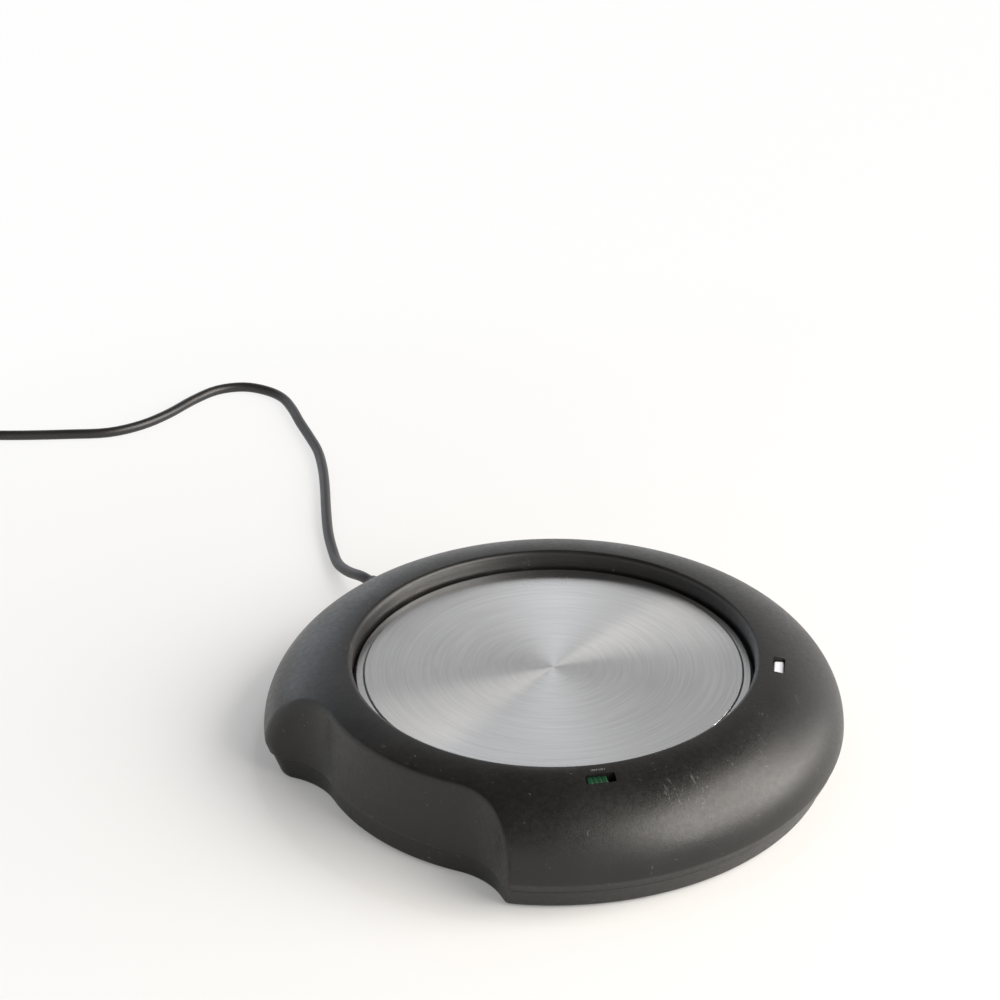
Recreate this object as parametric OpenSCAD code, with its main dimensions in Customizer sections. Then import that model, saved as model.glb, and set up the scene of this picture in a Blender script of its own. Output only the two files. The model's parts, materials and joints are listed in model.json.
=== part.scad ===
// Electric mug warmer: a round hot plate in a moulded ring, on a USB lead.
// The origin is on the table under the ring's centre, with +Z up and the scoop in the rim at the front left.

/* [Ring] */
// Diameter of the ring at its widest
ring_d = 108; // [104:1:116]
// Height of the ring's crest above the table
crest_h = 20.6; // [19.6:0.1:24]
// Radius at which the dome is level
crest_r = 37.9; // [37.6:0.1:38.8]
// Fullness of the dome, where 2 is an ellipse
dome_power = 1.94; // [1.8:0.02:2.2]
// Height of the widest line above the table
belly_h = 7.1; // [6.6:0.1:8]
// Radius of the bend under the widest line
belly_round = 1.6; // [1.2:0.1:2]
// Angle at which the sides of the ring and the base lean in below that bend
side_lean = 22; // [18:1:26]
// Radius of the well that the mug stands in
lip_r = 37.3; // [36.8:0.1:37.5]
// Rounding of the edge of the well
lip_round = 0.9; // [0.5:0.1:1.2]
// Wall thickness of the mouldings
wall = 2; // [1.6:0.1:2.2]
// Height of the line where the ring and the base meet
parting_h = 5; // [4.6:0.1:5.4]
// Gap that shows along that line
parting_gap = 0.15; // [0.1:0.05:0.3]

/* [Scoop] */
// Direction of the middle of the scoop
scoop_angle = 226.5; // [223:0.5:230]
// Radius of the scoop's wall about the ring's centre
scoop_r = 44.9; // [44.6:0.1:46]
// Angle from the middle of the scoop to each of its ends
scoop_half = 35.5; // [33:0.5:37]
// Angle between the scoop's end walls and the radius
scoop_flare = 32; // [28:1:36]
// Radius of the bend from the wall to the end walls
scoop_blend = 14; // [10:1:16]
// Rounding of the corner between the scoop's left end and the outside
left_round = 4; // [2:0.5:6]
// Rounding of the corner at its right end
right_round = 0.6; // [0.4:0.1:1]
// Distance that the base stands back from the ring in the scoop
scoop_step = 0.4; // [0.2:0.1:0.8]

/* [Base] */
// Thickness of the base's floor
floor_t = 2; // [1.6:0.1:2.4]
// Distance that the base's edge stands back from the ring's edge
base_set_back = 0.3; // [0.1:0.05:0.5]
// Height of the tongue that the ring fits over
tongue_h = 1.6; // [1.2:0.1:2]
// Thickness of that tongue
tongue_t = 1.2; // [1:0.1:1.4]
// Clearance between mouldings that fit together
fit_gap = 0.15; // [0.1:0.01:0.25]
// Directions of the rubber feet
foot_angles = [15, 75, 165, 285];
// Radius of the circle that the feet are on
foot_pitch_r = 42; // [38:0.5:43]
// Diameter of a foot
foot_d = 8; // [6:0.5:9]
// Height of the base above the table
foot_h = 0.5; // [0.4:0.1:0.9]
// Depth to which a foot is let into the base
foot_recess = 0.7; // [0.4:0.1:0.9]

/* [Hot plate] */
// Depth of the plate's face below the crest
plate_drop = 3.2; // [2.8:0.1:3.6]
// Thickness of the plate's sheet
plate_t = 0.6; // [0.5:0.05:0.8]
// Gap between the plate and the well
plate_gap = 0.7; // [0.5:0.05:1]
// Width of the step round the plate
plate_rim_w = 1.3; // [1:0.1:1.8]
// Depth of that step
plate_step = 0.35; // [0.2:0.05:0.5]
// Thickness of the seal under the plate
seal_t = 0.5; // [0.4:0.05:0.8]
// Width of the ledge that carries the plate
ledge_w = 4; // [3.6:0.1:4.4]
// Thickness of the ledge
ledge_t = 2; // [1.6:0.1:2.4]

/* [Heater] */
// Thickness of the heating film
film_t = 0.4; // [0.3:0.05:0.6]
// Gap between the film and the ledge
film_gap = 3.4; // [3:0.1:4]
// Length of the thermostat
thermostat_l = 20; // [16:0.5:22]
// Width of the thermostat
thermostat_w = 7; // [6:0.25:8]
// Height of the thermostat, and of the pad round it
thermostat_h = 3.4; // [3:0.1:3.8]
// Gap round the thermostat in its pad
pad_gap = 0.3; // [0.2:0.05:0.6]
// Thickness of the bracket
bracket_t = 1; // [0.8:0.1:1.4]
// Directions of the bracket's ears
ear_angles = [30, 150, 270];
// Width of a bracket ear
ear_w = 6.4; // [6:0.2:8]

/* [Screws] */
// Directions of the case screws
case_screw_angles = [45, 182, 268];
// Diameter of a case screw's thread
case_screw_d = 2.2; // [2:0.1:2.4]
// Length of a case screw under its head
case_screw_l = 9; // [7:0.5:11]
// Diameter of a case screw's boss
case_boss_d = 5.6; // [5.2:0.1:5.8]
// Height at which the bosses of the ring and the base meet
case_boss_h = 6; // [5.6:0.1:6.6]
// Thickness of the base's boss under a case screw's head
case_seat_t = 3; // [2:0.1:3]
// Distance that the base's boss stands out round the ring's boss
base_boss_extra = 0.4; // [0.2:0.05:0.4]
// Gap between a boss and the wall of the well
boss_gap = 0.3; // [0.2:0.05:0.4]
// Diameter of the small screws' thread
small_screw_d = 1.6; // [1.4:0.1:1.8]
// Length of a small screw under its head
small_screw_l = 3.4; // [3:0.1:3.6]
// Diameter of a small screw's boss
small_boss_d = 3.8; // [3.6:0.1:4.2]
// Clearance round a screw in its hole
screw_gap = 0.05; // [0.02:0.01:0.1]

/* [Switch] */
// Direction of the switch
switch_angle = 281.3; // [279:0.1:284]
// Length of the switch body
switch_l = 9; // [8.6:0.1:9.6]
// Width of the switch body
switch_w = 3.8; // [3.6:0.1:4]
// Height of the switch body
switch_h = 3.6; // [3.4:0.1:4]
// Sheet thickness of the switch's frame
switch_sheet = 0.3; // [0.2:0.05:0.35]
// Thickness of the switch's terminal base
switch_base_t = 0.8; // [0.6:0.05:1]
// Length of the sliding button
button_l = 3.7; // [3.4:0.1:4]
// Width of the sliding button
button_w = 1.9; // [1.7:0.05:2]
// Travel of the sliding button
button_travel = 1.3; // [1:0.05:1.5]
// Depth of the button's face below the dome, at the middle of its slot
button_sink = 0.2; // [0.1:0.05:0.4]
// Gap round the moving pieces of the switch
button_gap = 0.15; // [0.12:0.01:0.2]
// Length of the carriage at each end of the button
carriage_reach = 1; // [0.6:0.1:1.1]
// Thickness of the sliding contact
contact_t = 0.3; // [0.2:0.05:0.4]
// Gap between the switch and the inside of the dome
switch_clear = 0.25; // [0.2:0.05:0.4]

/* [Indicator] */
// Direction of the indicator
led_angle = 354.6; // [352:0.1:357]
// Length of the indicator's face
led_l = 5; // [4.6:0.1:5.4]
// Width of the indicator's face
led_w = 2; // [1.8:0.05:2.2]
// Depth of the indicator's face below the dome
led_depth = 0.8; // [0.5:0.05:1.2]
// Gap round the indicator in its window
window_gap = 0.1; // [0.05:0.01:0.2]
// Width of the indicator's flange
led_flange = 0.3; // [0.2:0.05:0.4]
// Thickness of that flange
led_flange_t = 1; // [0.6:0.1:1.4]
// Distance between the indicator's leads
led_pitch = 2.54; // [2:0.01:3]

/* [Circuit board] */
// Thickness of the board
board_t = 1.6; // [1.2:0.1:1.8]
// Width of the board along the radius
board_w = 6; // [5.4:0.1:6.4]
// Gap between the board and the wall of the well
board_gap = 0.4; // [0.3:0.05:0.6]
// Length of board beyond the switch and the indicator
board_margin = 1; // [0.6:0.1:1.4]
// Diameter of the pins that are soldered to the board
pin_d = 0.6; // [0.5:0.05:0.7]
// Clearance round a pin or a wire in the board
pin_gap = 0.12; // [0.08:0.01:0.15]
// Length of a soldered pin under the board
pin_out = 1.2; // [0.8:0.1:1.4]
// Directions of the board's screws
board_screw_angles = [301, 337];
// Direction of the resistor
resistor_angle = 319; // [316:1:322]
// Diameter of the resistor
resistor_d = 2.2; // [1.8:0.1:2.4]
// Length of the resistor
resistor_l = 6; // [5:0.1:6.4]

/* [Cord] */
// Direction in which the cord leaves the ring
exit_angle = 125; // [123:1:127]
// Diameter of the cord
cord_d = 2.2; // [2.2:0.1:2.6]
// Diameter of one wire in the case
wire_d = 1; // [0.8:0.1:1.2]
// Diameter of the strain relief's neck in the wall
neck_d = 4; // [3.8:0.1:4.2]
// Diameter of the strain relief's collar
collar_d = 5.6; // [5.2:0.1:6.2]
// Diameter of the strain relief's tip
tip_d = 3.2; // [3:0.1:3.6]
// Length of the strain relief outside the ring
relief_l = 10; // [8:0.5:12]
// Width of the clamp that holds the cord
clamp_l = 14; // [13.6:0.2:15]
// Depth of the clamp along the cord
clamp_w = 3.6; // [3.6:0.1:4.2]
// Thickness of the clamp
clamp_t = 2; // [1.6:0.1:2.4]
// Distance between the clamp and the wall
clamp_room = 4; // [3.4:0.1:4.6]
// Height of the clamp's underside above the middle of the cord
clamp_lift = 0.2; // [0.1:0.05:0.3]
// Length of cord inside the clamp
cord_stub = 3.2; // [2.6:0.1:4]
// Thickness of the strain relief's flange inside the wall
flange_t = 1.4; // [1:0.1:1.6]
// Gap between that flange and the wall
flange_gap = 0.5; // [0.2:0.1:0.6]
// Distance that the flange stands out round the neck
flange_w = 1; // [0.6:0.1:1.2]
// Number of ribs on the strain relief
relief_ribs = 4; // [3:1:6]
// Radius of the middle of the coil's turns
coil_r = 13; // [12.5:0.5:15]
// Turns of the coil that lie beside each other
coil_columns = 3; // [3:1:3]
// Layers of the coil
coil_layers = 4; // [3:1:5]
// Thickness of the coil's tie
tie_t = 0.5; // [0.4:0.1:0.7]
// Width of the tie
tie_w = 5; // [4:0.5:8]

/* [Plug] */
// Width of the plug's grip
grip_w = 15.6; // [14:0.2:17]
// Height of the plug's grip
grip_h = 8; // [7.6:0.1:9]
// Length of the plug's grip
grip_l = 22; // [18:0.5:26]
// Length of the plug's tail
tail_l = 10; // [8:0.5:12]
// Width of the plug's metal shell
shell_w = 12; // [11.8:0.1:12.2]
// Height of the plug's metal shell
shell_h = 4.5; // [4.3:0.1:4.7]
// Length of the metal shell beyond the grip
shell_l = 12; // [11:0.25:13]
// Length of the metal shell inside the grip
shell_in = 4; // [3:0.5:6]
// Sheet thickness of the shell
shell_t = 0.3; // [0.25:0.05:0.4]
// Thickness of the plug's tongue
tongue_thick = 1.9; // [1.6:0.1:2]
// Distance that the tongue's end stands back from the shell's
tongue_back = 0.6; // [0.4:0.1:1.5]

/* [Hidden] */
$fn = 96;
LAP = 0.02;

body_black = "#2b2b2c";
steel = "#c9cbcc";
zinc = "#8d8f92";
brass = "#c79a3e";

// Heights
floor_top = foot_h + floor_t;
plate_top = crest_h - plate_drop;
plate_under = plate_top - plate_t;
rim_top = plate_top - plate_step;
ledge_top = rim_top - plate_t - seal_t;
ledge_under = ledge_top - ledge_t;
film_under = plate_under - film_t;
bracket_top = film_under - thermostat_h;
bracket_under = bracket_top - bracket_t;
cord_z = parting_h;

// Bevels of the base's lower and upper edges
base_bevel = 0.5;
edge_bevel = 0.4;

// Radii
ring_r = ring_d / 2;
well_r = lip_r + wall;
ledge_r = lip_r - ledge_w;
plate_r = lip_r - plate_gap;
film_r = ledge_r - film_gap;
dome_steps = 16;

// The side leans in below the bend at the widest line, through the parting line and down the base
belly_in = belly_round * (1 - cos(side_lean));
belly_down = belly_round * sin(side_lean);
parting_r = ring_r - belly_in - (belly_h - belly_down - parting_h) * tan(side_lean);
base_edge_r = parting_r - base_set_back;
base_edge_z = parting_h - parting_gap;
base_side_top = base_edge_z - edge_bevel;
base_side_foot = foot_h + base_bevel;
base_r = base_edge_r - (base_side_top - base_side_foot) * tan(side_lean);
tongue_r = parting_r - wall - fit_gap;
cavity_r = tongue_r - tongue_t;

// Plastic left above a boss that hangs from the dome
boss_cover = 0.25;
// Depth to which a boss runs into the ledge
boss_into_ledge = 0.5;
// Room past the tip of a screw in its boss
tip_room = 0.3;
// Clearance round a screw in the piece that it holds, and round its head
loose_gap = 0.2;
head_gap = 0.3;
// Clearance round a foot in its recess
foot_gap = 0.1;

// Places of the screws
case_boss_r = well_r + case_boss_d / 2 + base_boss_extra + boss_gap;
case_screw_seat = case_boss_h - case_seat_t;
board_r = well_r + board_gap;
board_screw_r = board_r + board_w / 2;
ear_r = ledge_r + small_boss_d / 2;
clamp_r = cavity_r - clamp_room - clamp_w / 2;
clamp_screw_y = clamp_l / 2 - small_boss_d / 2;
screw_head_ratio = 1.9;

// The slot that the button slides in, across and along
button_slot = [button_w + 2 * button_gap, button_l + button_travel + 2 * button_gap];

// The switch and the indicator stand at the inner edge of the board
window_r = board_r + switch_w / 2;
switch_top = dome_z(window_r + switch_w / 2, wall) - switch_clear;
board_top = switch_top - switch_h;
board_under = board_top - board_t;
board_from = switch_angle - angle_of(switch_l / 2 + board_margin, window_r);
board_to = led_angle + angle_of(led_l / 2 + led_flange + board_margin, window_r);
button_top = dome_z(window_r) - button_sink;
led_top = dome_z(window_r) - led_depth;

// The angle that a length takes on a circle
function angle_of(length, r) = length / r * 180 / PI;

// The height of the dome at a radius, or of the surface that lies inset below it
function dome_z(r, inset = 0) =
    let (a = ring_r - crest_r - inset, b = crest_h - belly_h - inset)
    belly_h + b * pow(1 - pow(max(0, r - crest_r) / a, dome_power), 1 / dome_power);

// The dome from the widest line up to the crest
function dome_points(inset = 0) = [
    for (i = [0 : dome_steps])
        let (t = 90 * i / dome_steps, e = 2 / dome_power)
        [
            crest_r + (ring_r - crest_r - inset) * pow(cos(t), e),
            belly_h + (crest_h - belly_h - inset) * pow(sin(t), e)
        ]
];

// Points along a circle's arc
function arc(centre, r, from, to, steps) = [
    for (i = [0 : steps])
        let (t = from + (to - from) * i / steps)
        centre + r * [cos(t), sin(t)]
];

// The middle of the bend between the scoop's wall and its end wall, seen from the middle of the scoop
end_dir = scoop_half + scoop_flare;
end_line = ring_r * sin(scoop_flare);
end_normal = [sin(end_dir), -cos(end_dir)];
end_along = [cos(end_dir), sin(end_dir)];
blend_off = end_line + scoop_blend;
blend_along = sqrt(pow(scoop_r + scoop_blend, 2) - blend_off * blend_off);
blend_mid = blend_off * end_normal + blend_along * end_along;
blend_angle = atan2(blend_mid.y, blend_mid.x);

// The least rounding of a corner that is moved inwards
least_round = 0.3;

// Half of the scoop's outline, from outside a piece of radius r to the middle of the wall, moved inwards by
// grow. The corner between the end wall and the outside is rounded.
function scoop_half_points(r, grow, corner_round) =
    let (
        bend = max(corner_round - grow, least_round),
        off = end_line - grow - bend,
        bend_mid = off * end_normal + sqrt(pow(r - bend, 2) - off * off) * end_along,
        out_dir = atan2(bend_mid.y, bend_mid.x)
    )
    concat(
        [2 * ring_r * [cos(out_dir), sin(out_dir)]],
        arc(bend_mid, bend, out_dir, end_dir - 90, 8),
        arc(blend_mid, scoop_blend + grow, end_dir + 90, 180 + blend_angle, 12),
        arc([0, 0], scoop_r - grow, blend_angle - 2, 0, 10)
    );

function mirrored(points) = [for (i = [len(points) - 1 : -1 : 0]) [points[i].x, -points[i].y]];

module scoop_plan(r, grow = 0) {
    left = scoop_half_points(r, grow, left_round);
    right = scoop_half_points(r, grow, right_round);
    rotate(scoop_angle)
        polygon(concat(right, mirrored(left), [[2 * ring_r, -2 * ring_r], [2 * ring_r, 2 * ring_r]]));
}

module scoop_cut(r, grow = 0) {
    translate([0, 0, -1])
        linear_extrude(crest_h + 2)
            scoop_plan(r, grow);
}

// The outline inside the walls, held clear of the scoop
module inside_plan(r, grow) {
    difference() {
        circle(r);
        scoop_plan(r, grow);
    }
}

function polar(r, a, z) = [r * cos(a), r * sin(a), z];

// Places its children on a radius, with x pointing outwards
module around(angle, r = 0, z = 0) {
    rotate([0, 0, angle])
        translate([r, 0, z])
            children();
}

module block(x, y, z, from_z = 0) {
    translate([-x / 2, -y / 2, from_z])
        cube([x, y, z]);
}

// A screw with its head down at z = 0 and its thread pointing up
module screw(d, l) {
    head_r = d * screw_head_ratio / 2;
    head_h = 0.55 * d;
    head_side = 0.3 * d;
    slot_l = 1.3 * head_r;
    slot_w = 0.22 * d;
    slot_deep = 0.3 * d;
    difference() {
        rotate_extrude()
            polygon([
                [0, -head_h], [head_r * 0.8, -head_h], [head_r, -head_side], [head_r, 0],
                [d / 2, 0], [d / 2, l - d / 2], [0, l]
            ]);
        for (turn = [0, 90])
            rotate([0, 0, turn])
                block(slot_l, slot_w, slot_deep, -head_h - LAP);
    }
}

module screw_hole(d, l) {
    cylinder(d = d + 2 * screw_gap, h = l);
}

// ---- Case ----

module ring_outside() {
    belly_bend = arc([ring_r - belly_round, belly_h], belly_round, -side_lean, -side_lean / 4, 3);
    lip_bend = arc([lip_r + lip_round, crest_h - lip_round], lip_round, 90, 180, 5);
    rotate_extrude()
        polygon(concat(
            [[ledge_r, ledge_under], [lip_r, parting_h], [parting_r, parting_h]],
            belly_bend,
            [for (p = dome_points()) if (p.x > lip_r + lip_round) p],
            lip_bend,
            [[lip_r, ledge_top], [ledge_r, ledge_top]]
        ));
}

module ring_hollow() {
    inner_belly_r = ring_r - wall;
    difference() {
        rotate_extrude()
            polygon(concat(
                [[0, 0], [parting_r - wall, 0], [parting_r - wall, parting_h], [inner_belly_r, belly_h]],
                [for (p = dome_points(wall)) if (p.x > well_r && p.y > belly_h) p],
                [[well_r, dome_z(well_r, wall)], [well_r, ledge_under], [0, ledge_under]]
            ));
        scoop_cut(ring_r - wall, wall);
    }
}

// A boss that hangs from the dome at a radius, down to from_z
module hanging_boss(d, r, from_z) {
    translate([0, 0, from_z])
        cylinder(d = d, h = dome_z(r + d / 2) - boss_cover - from_z);
}

module windows() {
    above_switch = switch_top + LAP;
    around(switch_angle, window_r)
        block(button_slot.x, button_slot.y, crest_h, above_switch);
    around(led_angle, window_r)
        block(led_w + 2 * window_gap, led_l + 2 * window_gap, crest_h, above_switch);
}

module neck_hole() {
    around(exit_angle, 0, cord_z)
        rotate([0, 90, 0])
            translate([0, 0, cavity_r - wall])
                cylinder(d = neck_d + 2 * fit_gap, h = ring_r - cavity_r + 2 * wall);
}

module top_cover() color(body_black) {
    difference() {
        union() {
            difference() {
                ring_outside();
                scoop_cut(ring_r);
                ring_hollow();
            }
            for (a = case_screw_angles)
                around(a, case_boss_r)
                    hanging_boss(case_boss_d, case_boss_r, case_boss_h);
            for (a = board_screw_angles)
                around(a, board_screw_r)
                    hanging_boss(small_boss_d, board_screw_r, board_top);
            for (a = ear_angles)
                around(a, ear_r, bracket_top)
                    cylinder(d = small_boss_d, h = ledge_under - bracket_top + boss_into_ledge);
        }
        for (a = case_screw_angles)
            around(a, case_boss_r, case_screw_seat)
                screw_hole(case_screw_d, case_screw_l + tip_room);
        for (a = board_screw_angles)
            around(a, board_screw_r, board_under)
                screw_hole(small_screw_d, small_screw_l + tip_room);
        for (a = ear_angles)
            around(a, ear_r, bracket_under)
                screw_hole(small_screw_d, small_screw_l + tip_room);
        windows();
        neck_hole();
    }
}

module base_outside() {
    difference() {
        rotate_extrude()
            polygon([
                [0, foot_h], [base_r - base_bevel, foot_h], [base_r, base_side_foot],
                [base_edge_r, base_side_top], [base_edge_r - edge_bevel, base_edge_z], [0, base_edge_z]
            ]);
        scoop_cut(base_edge_r, scoop_step);
    }
}

module clamp_seat() {
    around(exit_angle, clamp_r) {
        for (side = [-1, 1])
            translate([0, side * clamp_screw_y, floor_top - LAP])
                cylinder(d = small_boss_d, h = cord_z + clamp_lift - floor_top + LAP);
        block(clamp_w, clamp_l - small_boss_d, cord_z - cord_d / 2 - floor_top + LAP, floor_top - LAP);
    }
}

module base_cover() color(body_black) {
    difference() {
        union() {
            difference() {
                base_outside();
                translate([0, 0, floor_top])
                    linear_extrude(crest_h)
                        inside_plan(cavity_r, wall + fit_gap + tongue_t);
            }
            translate([0, 0, floor_top])
                linear_extrude(parting_h + tongue_h - floor_top)
                    difference() {
                        inside_plan(tongue_r, wall + fit_gap);
                        inside_plan(cavity_r, wall + fit_gap + tongue_t);
                    }
            for (a = case_screw_angles)
                around(a, case_boss_r, floor_top - LAP)
                    cylinder(d = case_boss_d + 2 * base_boss_extra, h = case_boss_h - floor_top + LAP);
            clamp_seat();
        }
        for (a = case_screw_angles)
            around(a, case_boss_r) {
                cylinder(d = case_screw_d * screw_head_ratio + 2 * head_gap, h = case_screw_seat);
                cylinder(d = case_screw_d + 2 * loose_gap, h = case_boss_h + 1);
            }
        for (a = foot_angles)
            around(a, foot_pitch_r)
                cylinder(d = foot_d + 2 * foot_gap, h = foot_h + foot_recess);
        around(exit_angle, clamp_r, cord_z + clamp_lift + clamp_t - small_screw_l - tip_room)
            for (side = [-1, 1])
                translate([0, side * clamp_screw_y, 0])
                    screw_hole(small_screw_d, small_screw_l);
        neck_hole();
    }
}

module rubber_feet() color("#1d1d1f") {
    bevel = 0.4;
    foot_r = foot_d / 2;
    foot_top = foot_h + foot_recess;
    for (a = foot_angles)
        around(a, foot_pitch_r)
            rotate_extrude()
                polygon([[0, 0], [foot_r - bevel, 0], [foot_r, bevel], [foot_r, foot_top], [0, foot_top]]);
}

module case_screws() color(zinc) {
    for (a = case_screw_angles)
        around(a, case_boss_r, case_screw_seat)
            screw(case_screw_d, case_screw_l);
}

// ---- Hot plate and heater ----

module hot_plate() color(steel) {
    step_r = plate_r - plate_rim_w;
    slope = 0.4;
    edge = 0.2;
    rotate_extrude()
        polygon([
            [0, plate_under], [step_r - slope - edge, plate_under],
            [step_r - edge, rim_top - plate_t], [plate_r, rim_top - plate_t],
            [plate_r, rim_top - edge], [plate_r - edge, rim_top],
            [step_r, rim_top], [step_r - slope, plate_top], [0, plate_top]
        ]);
}

module plate_seal() color("#b23b2a") {
    translate([0, 0, ledge_top])
        difference() {
            cylinder(r = plate_r, h = seal_t);
            translate([0, 0, -1])
                cylinder(r = ledge_r + plate_gap / 2, h = seal_t + 2);
        }
}

// The film's tab, where its wires are soldered
tab_angle = 296;
tab_w = 6;
tab_l = 2.4;
tab_r = film_r + tab_l;

module heating_film() color("#b5702a") {
    translate([0, 0, film_under])
        linear_extrude(film_t) {
            circle(film_r);
            rotate(tab_angle)
                translate([film_r - 2, -tab_w / 2])
                    square([tab_r - film_r + 2, tab_w]);
        }
}

module insulation_pad() color("#e6e1d6") {
    translate([0, 0, bracket_top])
        linear_extrude(thermostat_h)
            difference() {
                circle(film_r);
                square([thermostat_l + 2 * pad_gap, thermostat_w + 2 * pad_gap], center = true);
            }
}

module thermostat() color("#3a3f47") {
    waist_l = thermostat_l - 6;
    waist_deep = 0.5;
    foot_t = 0.8;
    difference() {
        block(thermostat_l, thermostat_w, thermostat_h, bracket_top);
        for (side = [-1, 1])
            translate([0, side * thermostat_w / 2, 0])
                block(waist_l, 2 * waist_deep, thermostat_h, bracket_top + foot_t);
    }
}

// The window in the bracket for the thermostat's wires
wire_window = [6, 5];

module heater_bracket() color(steel) {
    translate([0, 0, bracket_under])
        linear_extrude(bracket_t)
            difference() {
                union() {
                    circle(film_r);
                    for (a = ear_angles)
                        rotate(a) {
                            translate([film_r - 3, -ear_w / 2])
                                square([ear_r - film_r + 3, ear_w]);
                            translate([ear_r, 0])
                                circle(d = ear_w);
                        }
                }
                for (a = ear_angles)
                    rotate(a)
                        translate([ear_r, 0])
                            circle(d = small_screw_d + 2 * loose_gap);
                translate([-thermostat_l / 2, 0])
                    square(wire_window, center = true);
            }
}

module bracket_screws() color(zinc) {
    for (a = ear_angles)
        around(a, ear_r, bracket_under)
            screw(small_screw_d, small_screw_l);
}

// ---- Circuit board, switch and indicator ----

wire_hole_angles = [292, 295, 308, 311];
wire_hole_r = board_r + 0.75 * board_w;
terminal_y = [-2.6, 0, 2.6];
// Distance from the middle of the resistor to each of its bent wires
resistor_reach = resistor_l / 2 + 1;

module pin_hole(d) {
    cylinder(d = d + 2 * pin_gap, h = board_t + 2);
}

module circuit_board() color("#2f6b3d") {
    translate([0, 0, board_under])
        difference() {
            rotate([0, 0, board_from])
                rotate_extrude(angle = board_to - board_from)
                    translate([board_r, 0])
                        square([board_w, board_t]);
            translate([0, 0, -1]) {
                for (a = board_screw_angles)
                    around(a, board_screw_r)
                        cylinder(d = small_screw_d + 2 * loose_gap, h = board_t + 2);
                for (a = wire_hole_angles)
                    around(a, wire_hole_r)
                        pin_hole(wire_d);
                around(switch_angle, window_r)
                    for (y = terminal_y)
                        translate([0, y, 0])
                            pin_hole(pin_d);
                around(led_angle, window_r)
                    for (side = [-1, 1])
                        translate([0, side * led_pitch / 2, 0])
                            pin_hole(pin_d);
                around(resistor_angle, board_screw_r)
                    for (side = [-1, 1])
                        translate([0, side * resistor_reach, 0])
                            pin_hole(pin_d);
            }
        }
}

module board_screws() color(zinc) {
    for (a = board_screw_angles)
        around(a, board_screw_r, board_under)
            screw(small_screw_d, small_screw_l);
}

module switch_base() color("#6b4a2a") {
    around(switch_angle, window_r, board_top)
        difference() {
            block(switch_w, switch_l, switch_base_t);
            for (y = terminal_y)
                translate([0, y, -1])
                    cylinder(d = pin_d, h = switch_base_t + 2);
        }
}

module switch_frame() color(steel) {
    room = switch_h - switch_base_t - switch_sheet;
    around(switch_angle, window_r, board_top + switch_base_t)
        difference() {
            block(switch_w, switch_l, switch_h - switch_base_t);
            block(switch_w - 2 * switch_sheet, switch_l - 2 * switch_sheet, room + 1, -1);
            block(button_slot.x, button_slot.y, switch_h);
        }
}

// Height of a terminal above the switch's base
pin_tip = 0.15;

module switch_terminals() color(brass) {
    around(switch_angle, window_r, board_under - pin_out)
        for (y = terminal_y)
            translate([0, y, 0])
                cylinder(d = pin_d, h = pin_out + board_t + switch_base_t + pin_tip);
}

carriage_l = button_l + 2 * carriage_reach;
carriage_w = switch_w - 2 * switch_sheet - 2 * button_gap;
carriage_top = switch_h - switch_sheet - button_gap;
contact_z = switch_base_t + 2 * button_gap;

// The button is drawn at the left end of its slot
module moving() {
    around(switch_angle, window_r, board_top)
        translate([0, -button_travel / 2, 0])
            children();
}

module switch_contact() color(brass) {
    inset = 0.4;
    moving()
        block(carriage_w - 2 * inset, carriage_l - 2 * inset, contact_t, contact_z);
}

module switch_button() color("#0f6b4a") {
    top = button_top - board_top;
    groove_w = 0.3;
    groove_deep = 0.25;
    groove_y = [-0.8, 0, 0.8];
    moving() {
        difference() {
            union() {
                block(carriage_w, carriage_l, carriage_top - contact_z - contact_t, contact_z + contact_t);
                block(button_w, button_l, top - carriage_top + LAP, carriage_top - LAP);
            }
            for (y = groove_y)
                translate([0, y, 0])
                    block(button_w + 1, groove_w, 1, top - groove_deep);
        }
    }
}

module indicator_led() color("#f4f5f7") {
    around(led_angle, window_r) {
        block(led_w, led_l, led_top - board_top, board_top);
        block(led_w + 2 * led_flange, led_l + 2 * led_flange, led_flange_t, board_top);
    }
}

module led_leads() color(steel) {
    around(led_angle, window_r, board_under - pin_out)
        for (side = [-1, 1])
            translate([0, side * led_pitch / 2, 0])
                cylinder(d = pin_d, h = board_t + pin_out);
}

module led_resistor() color("#c9b58a") {
    above_board = 0.2;
    axis_z = board_top + resistor_d / 2 + above_board;
    around(resistor_angle, board_screw_r) {
        translate([0, resistor_l / 2, axis_z])
            rotate([90, 0, 0])
                cylinder(d = resistor_d, h = resistor_l);
        translate([0, resistor_reach, axis_z])
            rotate([90, 0, 0])
                cylinder(d = pin_d, h = 2 * resistor_reach);
        for (side = [-1, 1])
            translate([0, side * resistor_reach, board_under - pin_out])
                cylinder(d = pin_d, h = axis_z + pin_d / 2 - board_under + pin_out);
    }
}

// ---- Wires and cord ----

function unit(v) = v / norm(v);

// A point on a smooth curve through b and c
function curve_point(a, b, c, d, t) =
    0.5 * (2 * b + (c - a) * t + (2 * a - 5 * b + 4 * c - d) * t * t + (3 * b - a - 3 * c + d) * t * t * t);

// A smooth curve through the points, with the given number of steps between each pair
function smooth(points, steps) =
    let (last = len(points) - 1)
    concat(
        [
            for (i = [0 : last - 1], s = [0 : steps - 1])
                curve_point(
                    points[max(i - 1, 0)], points[i], points[i + 1], points[min(i + 2, last)], s / steps
                )
        ],
        [points[last]]
    );

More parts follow.
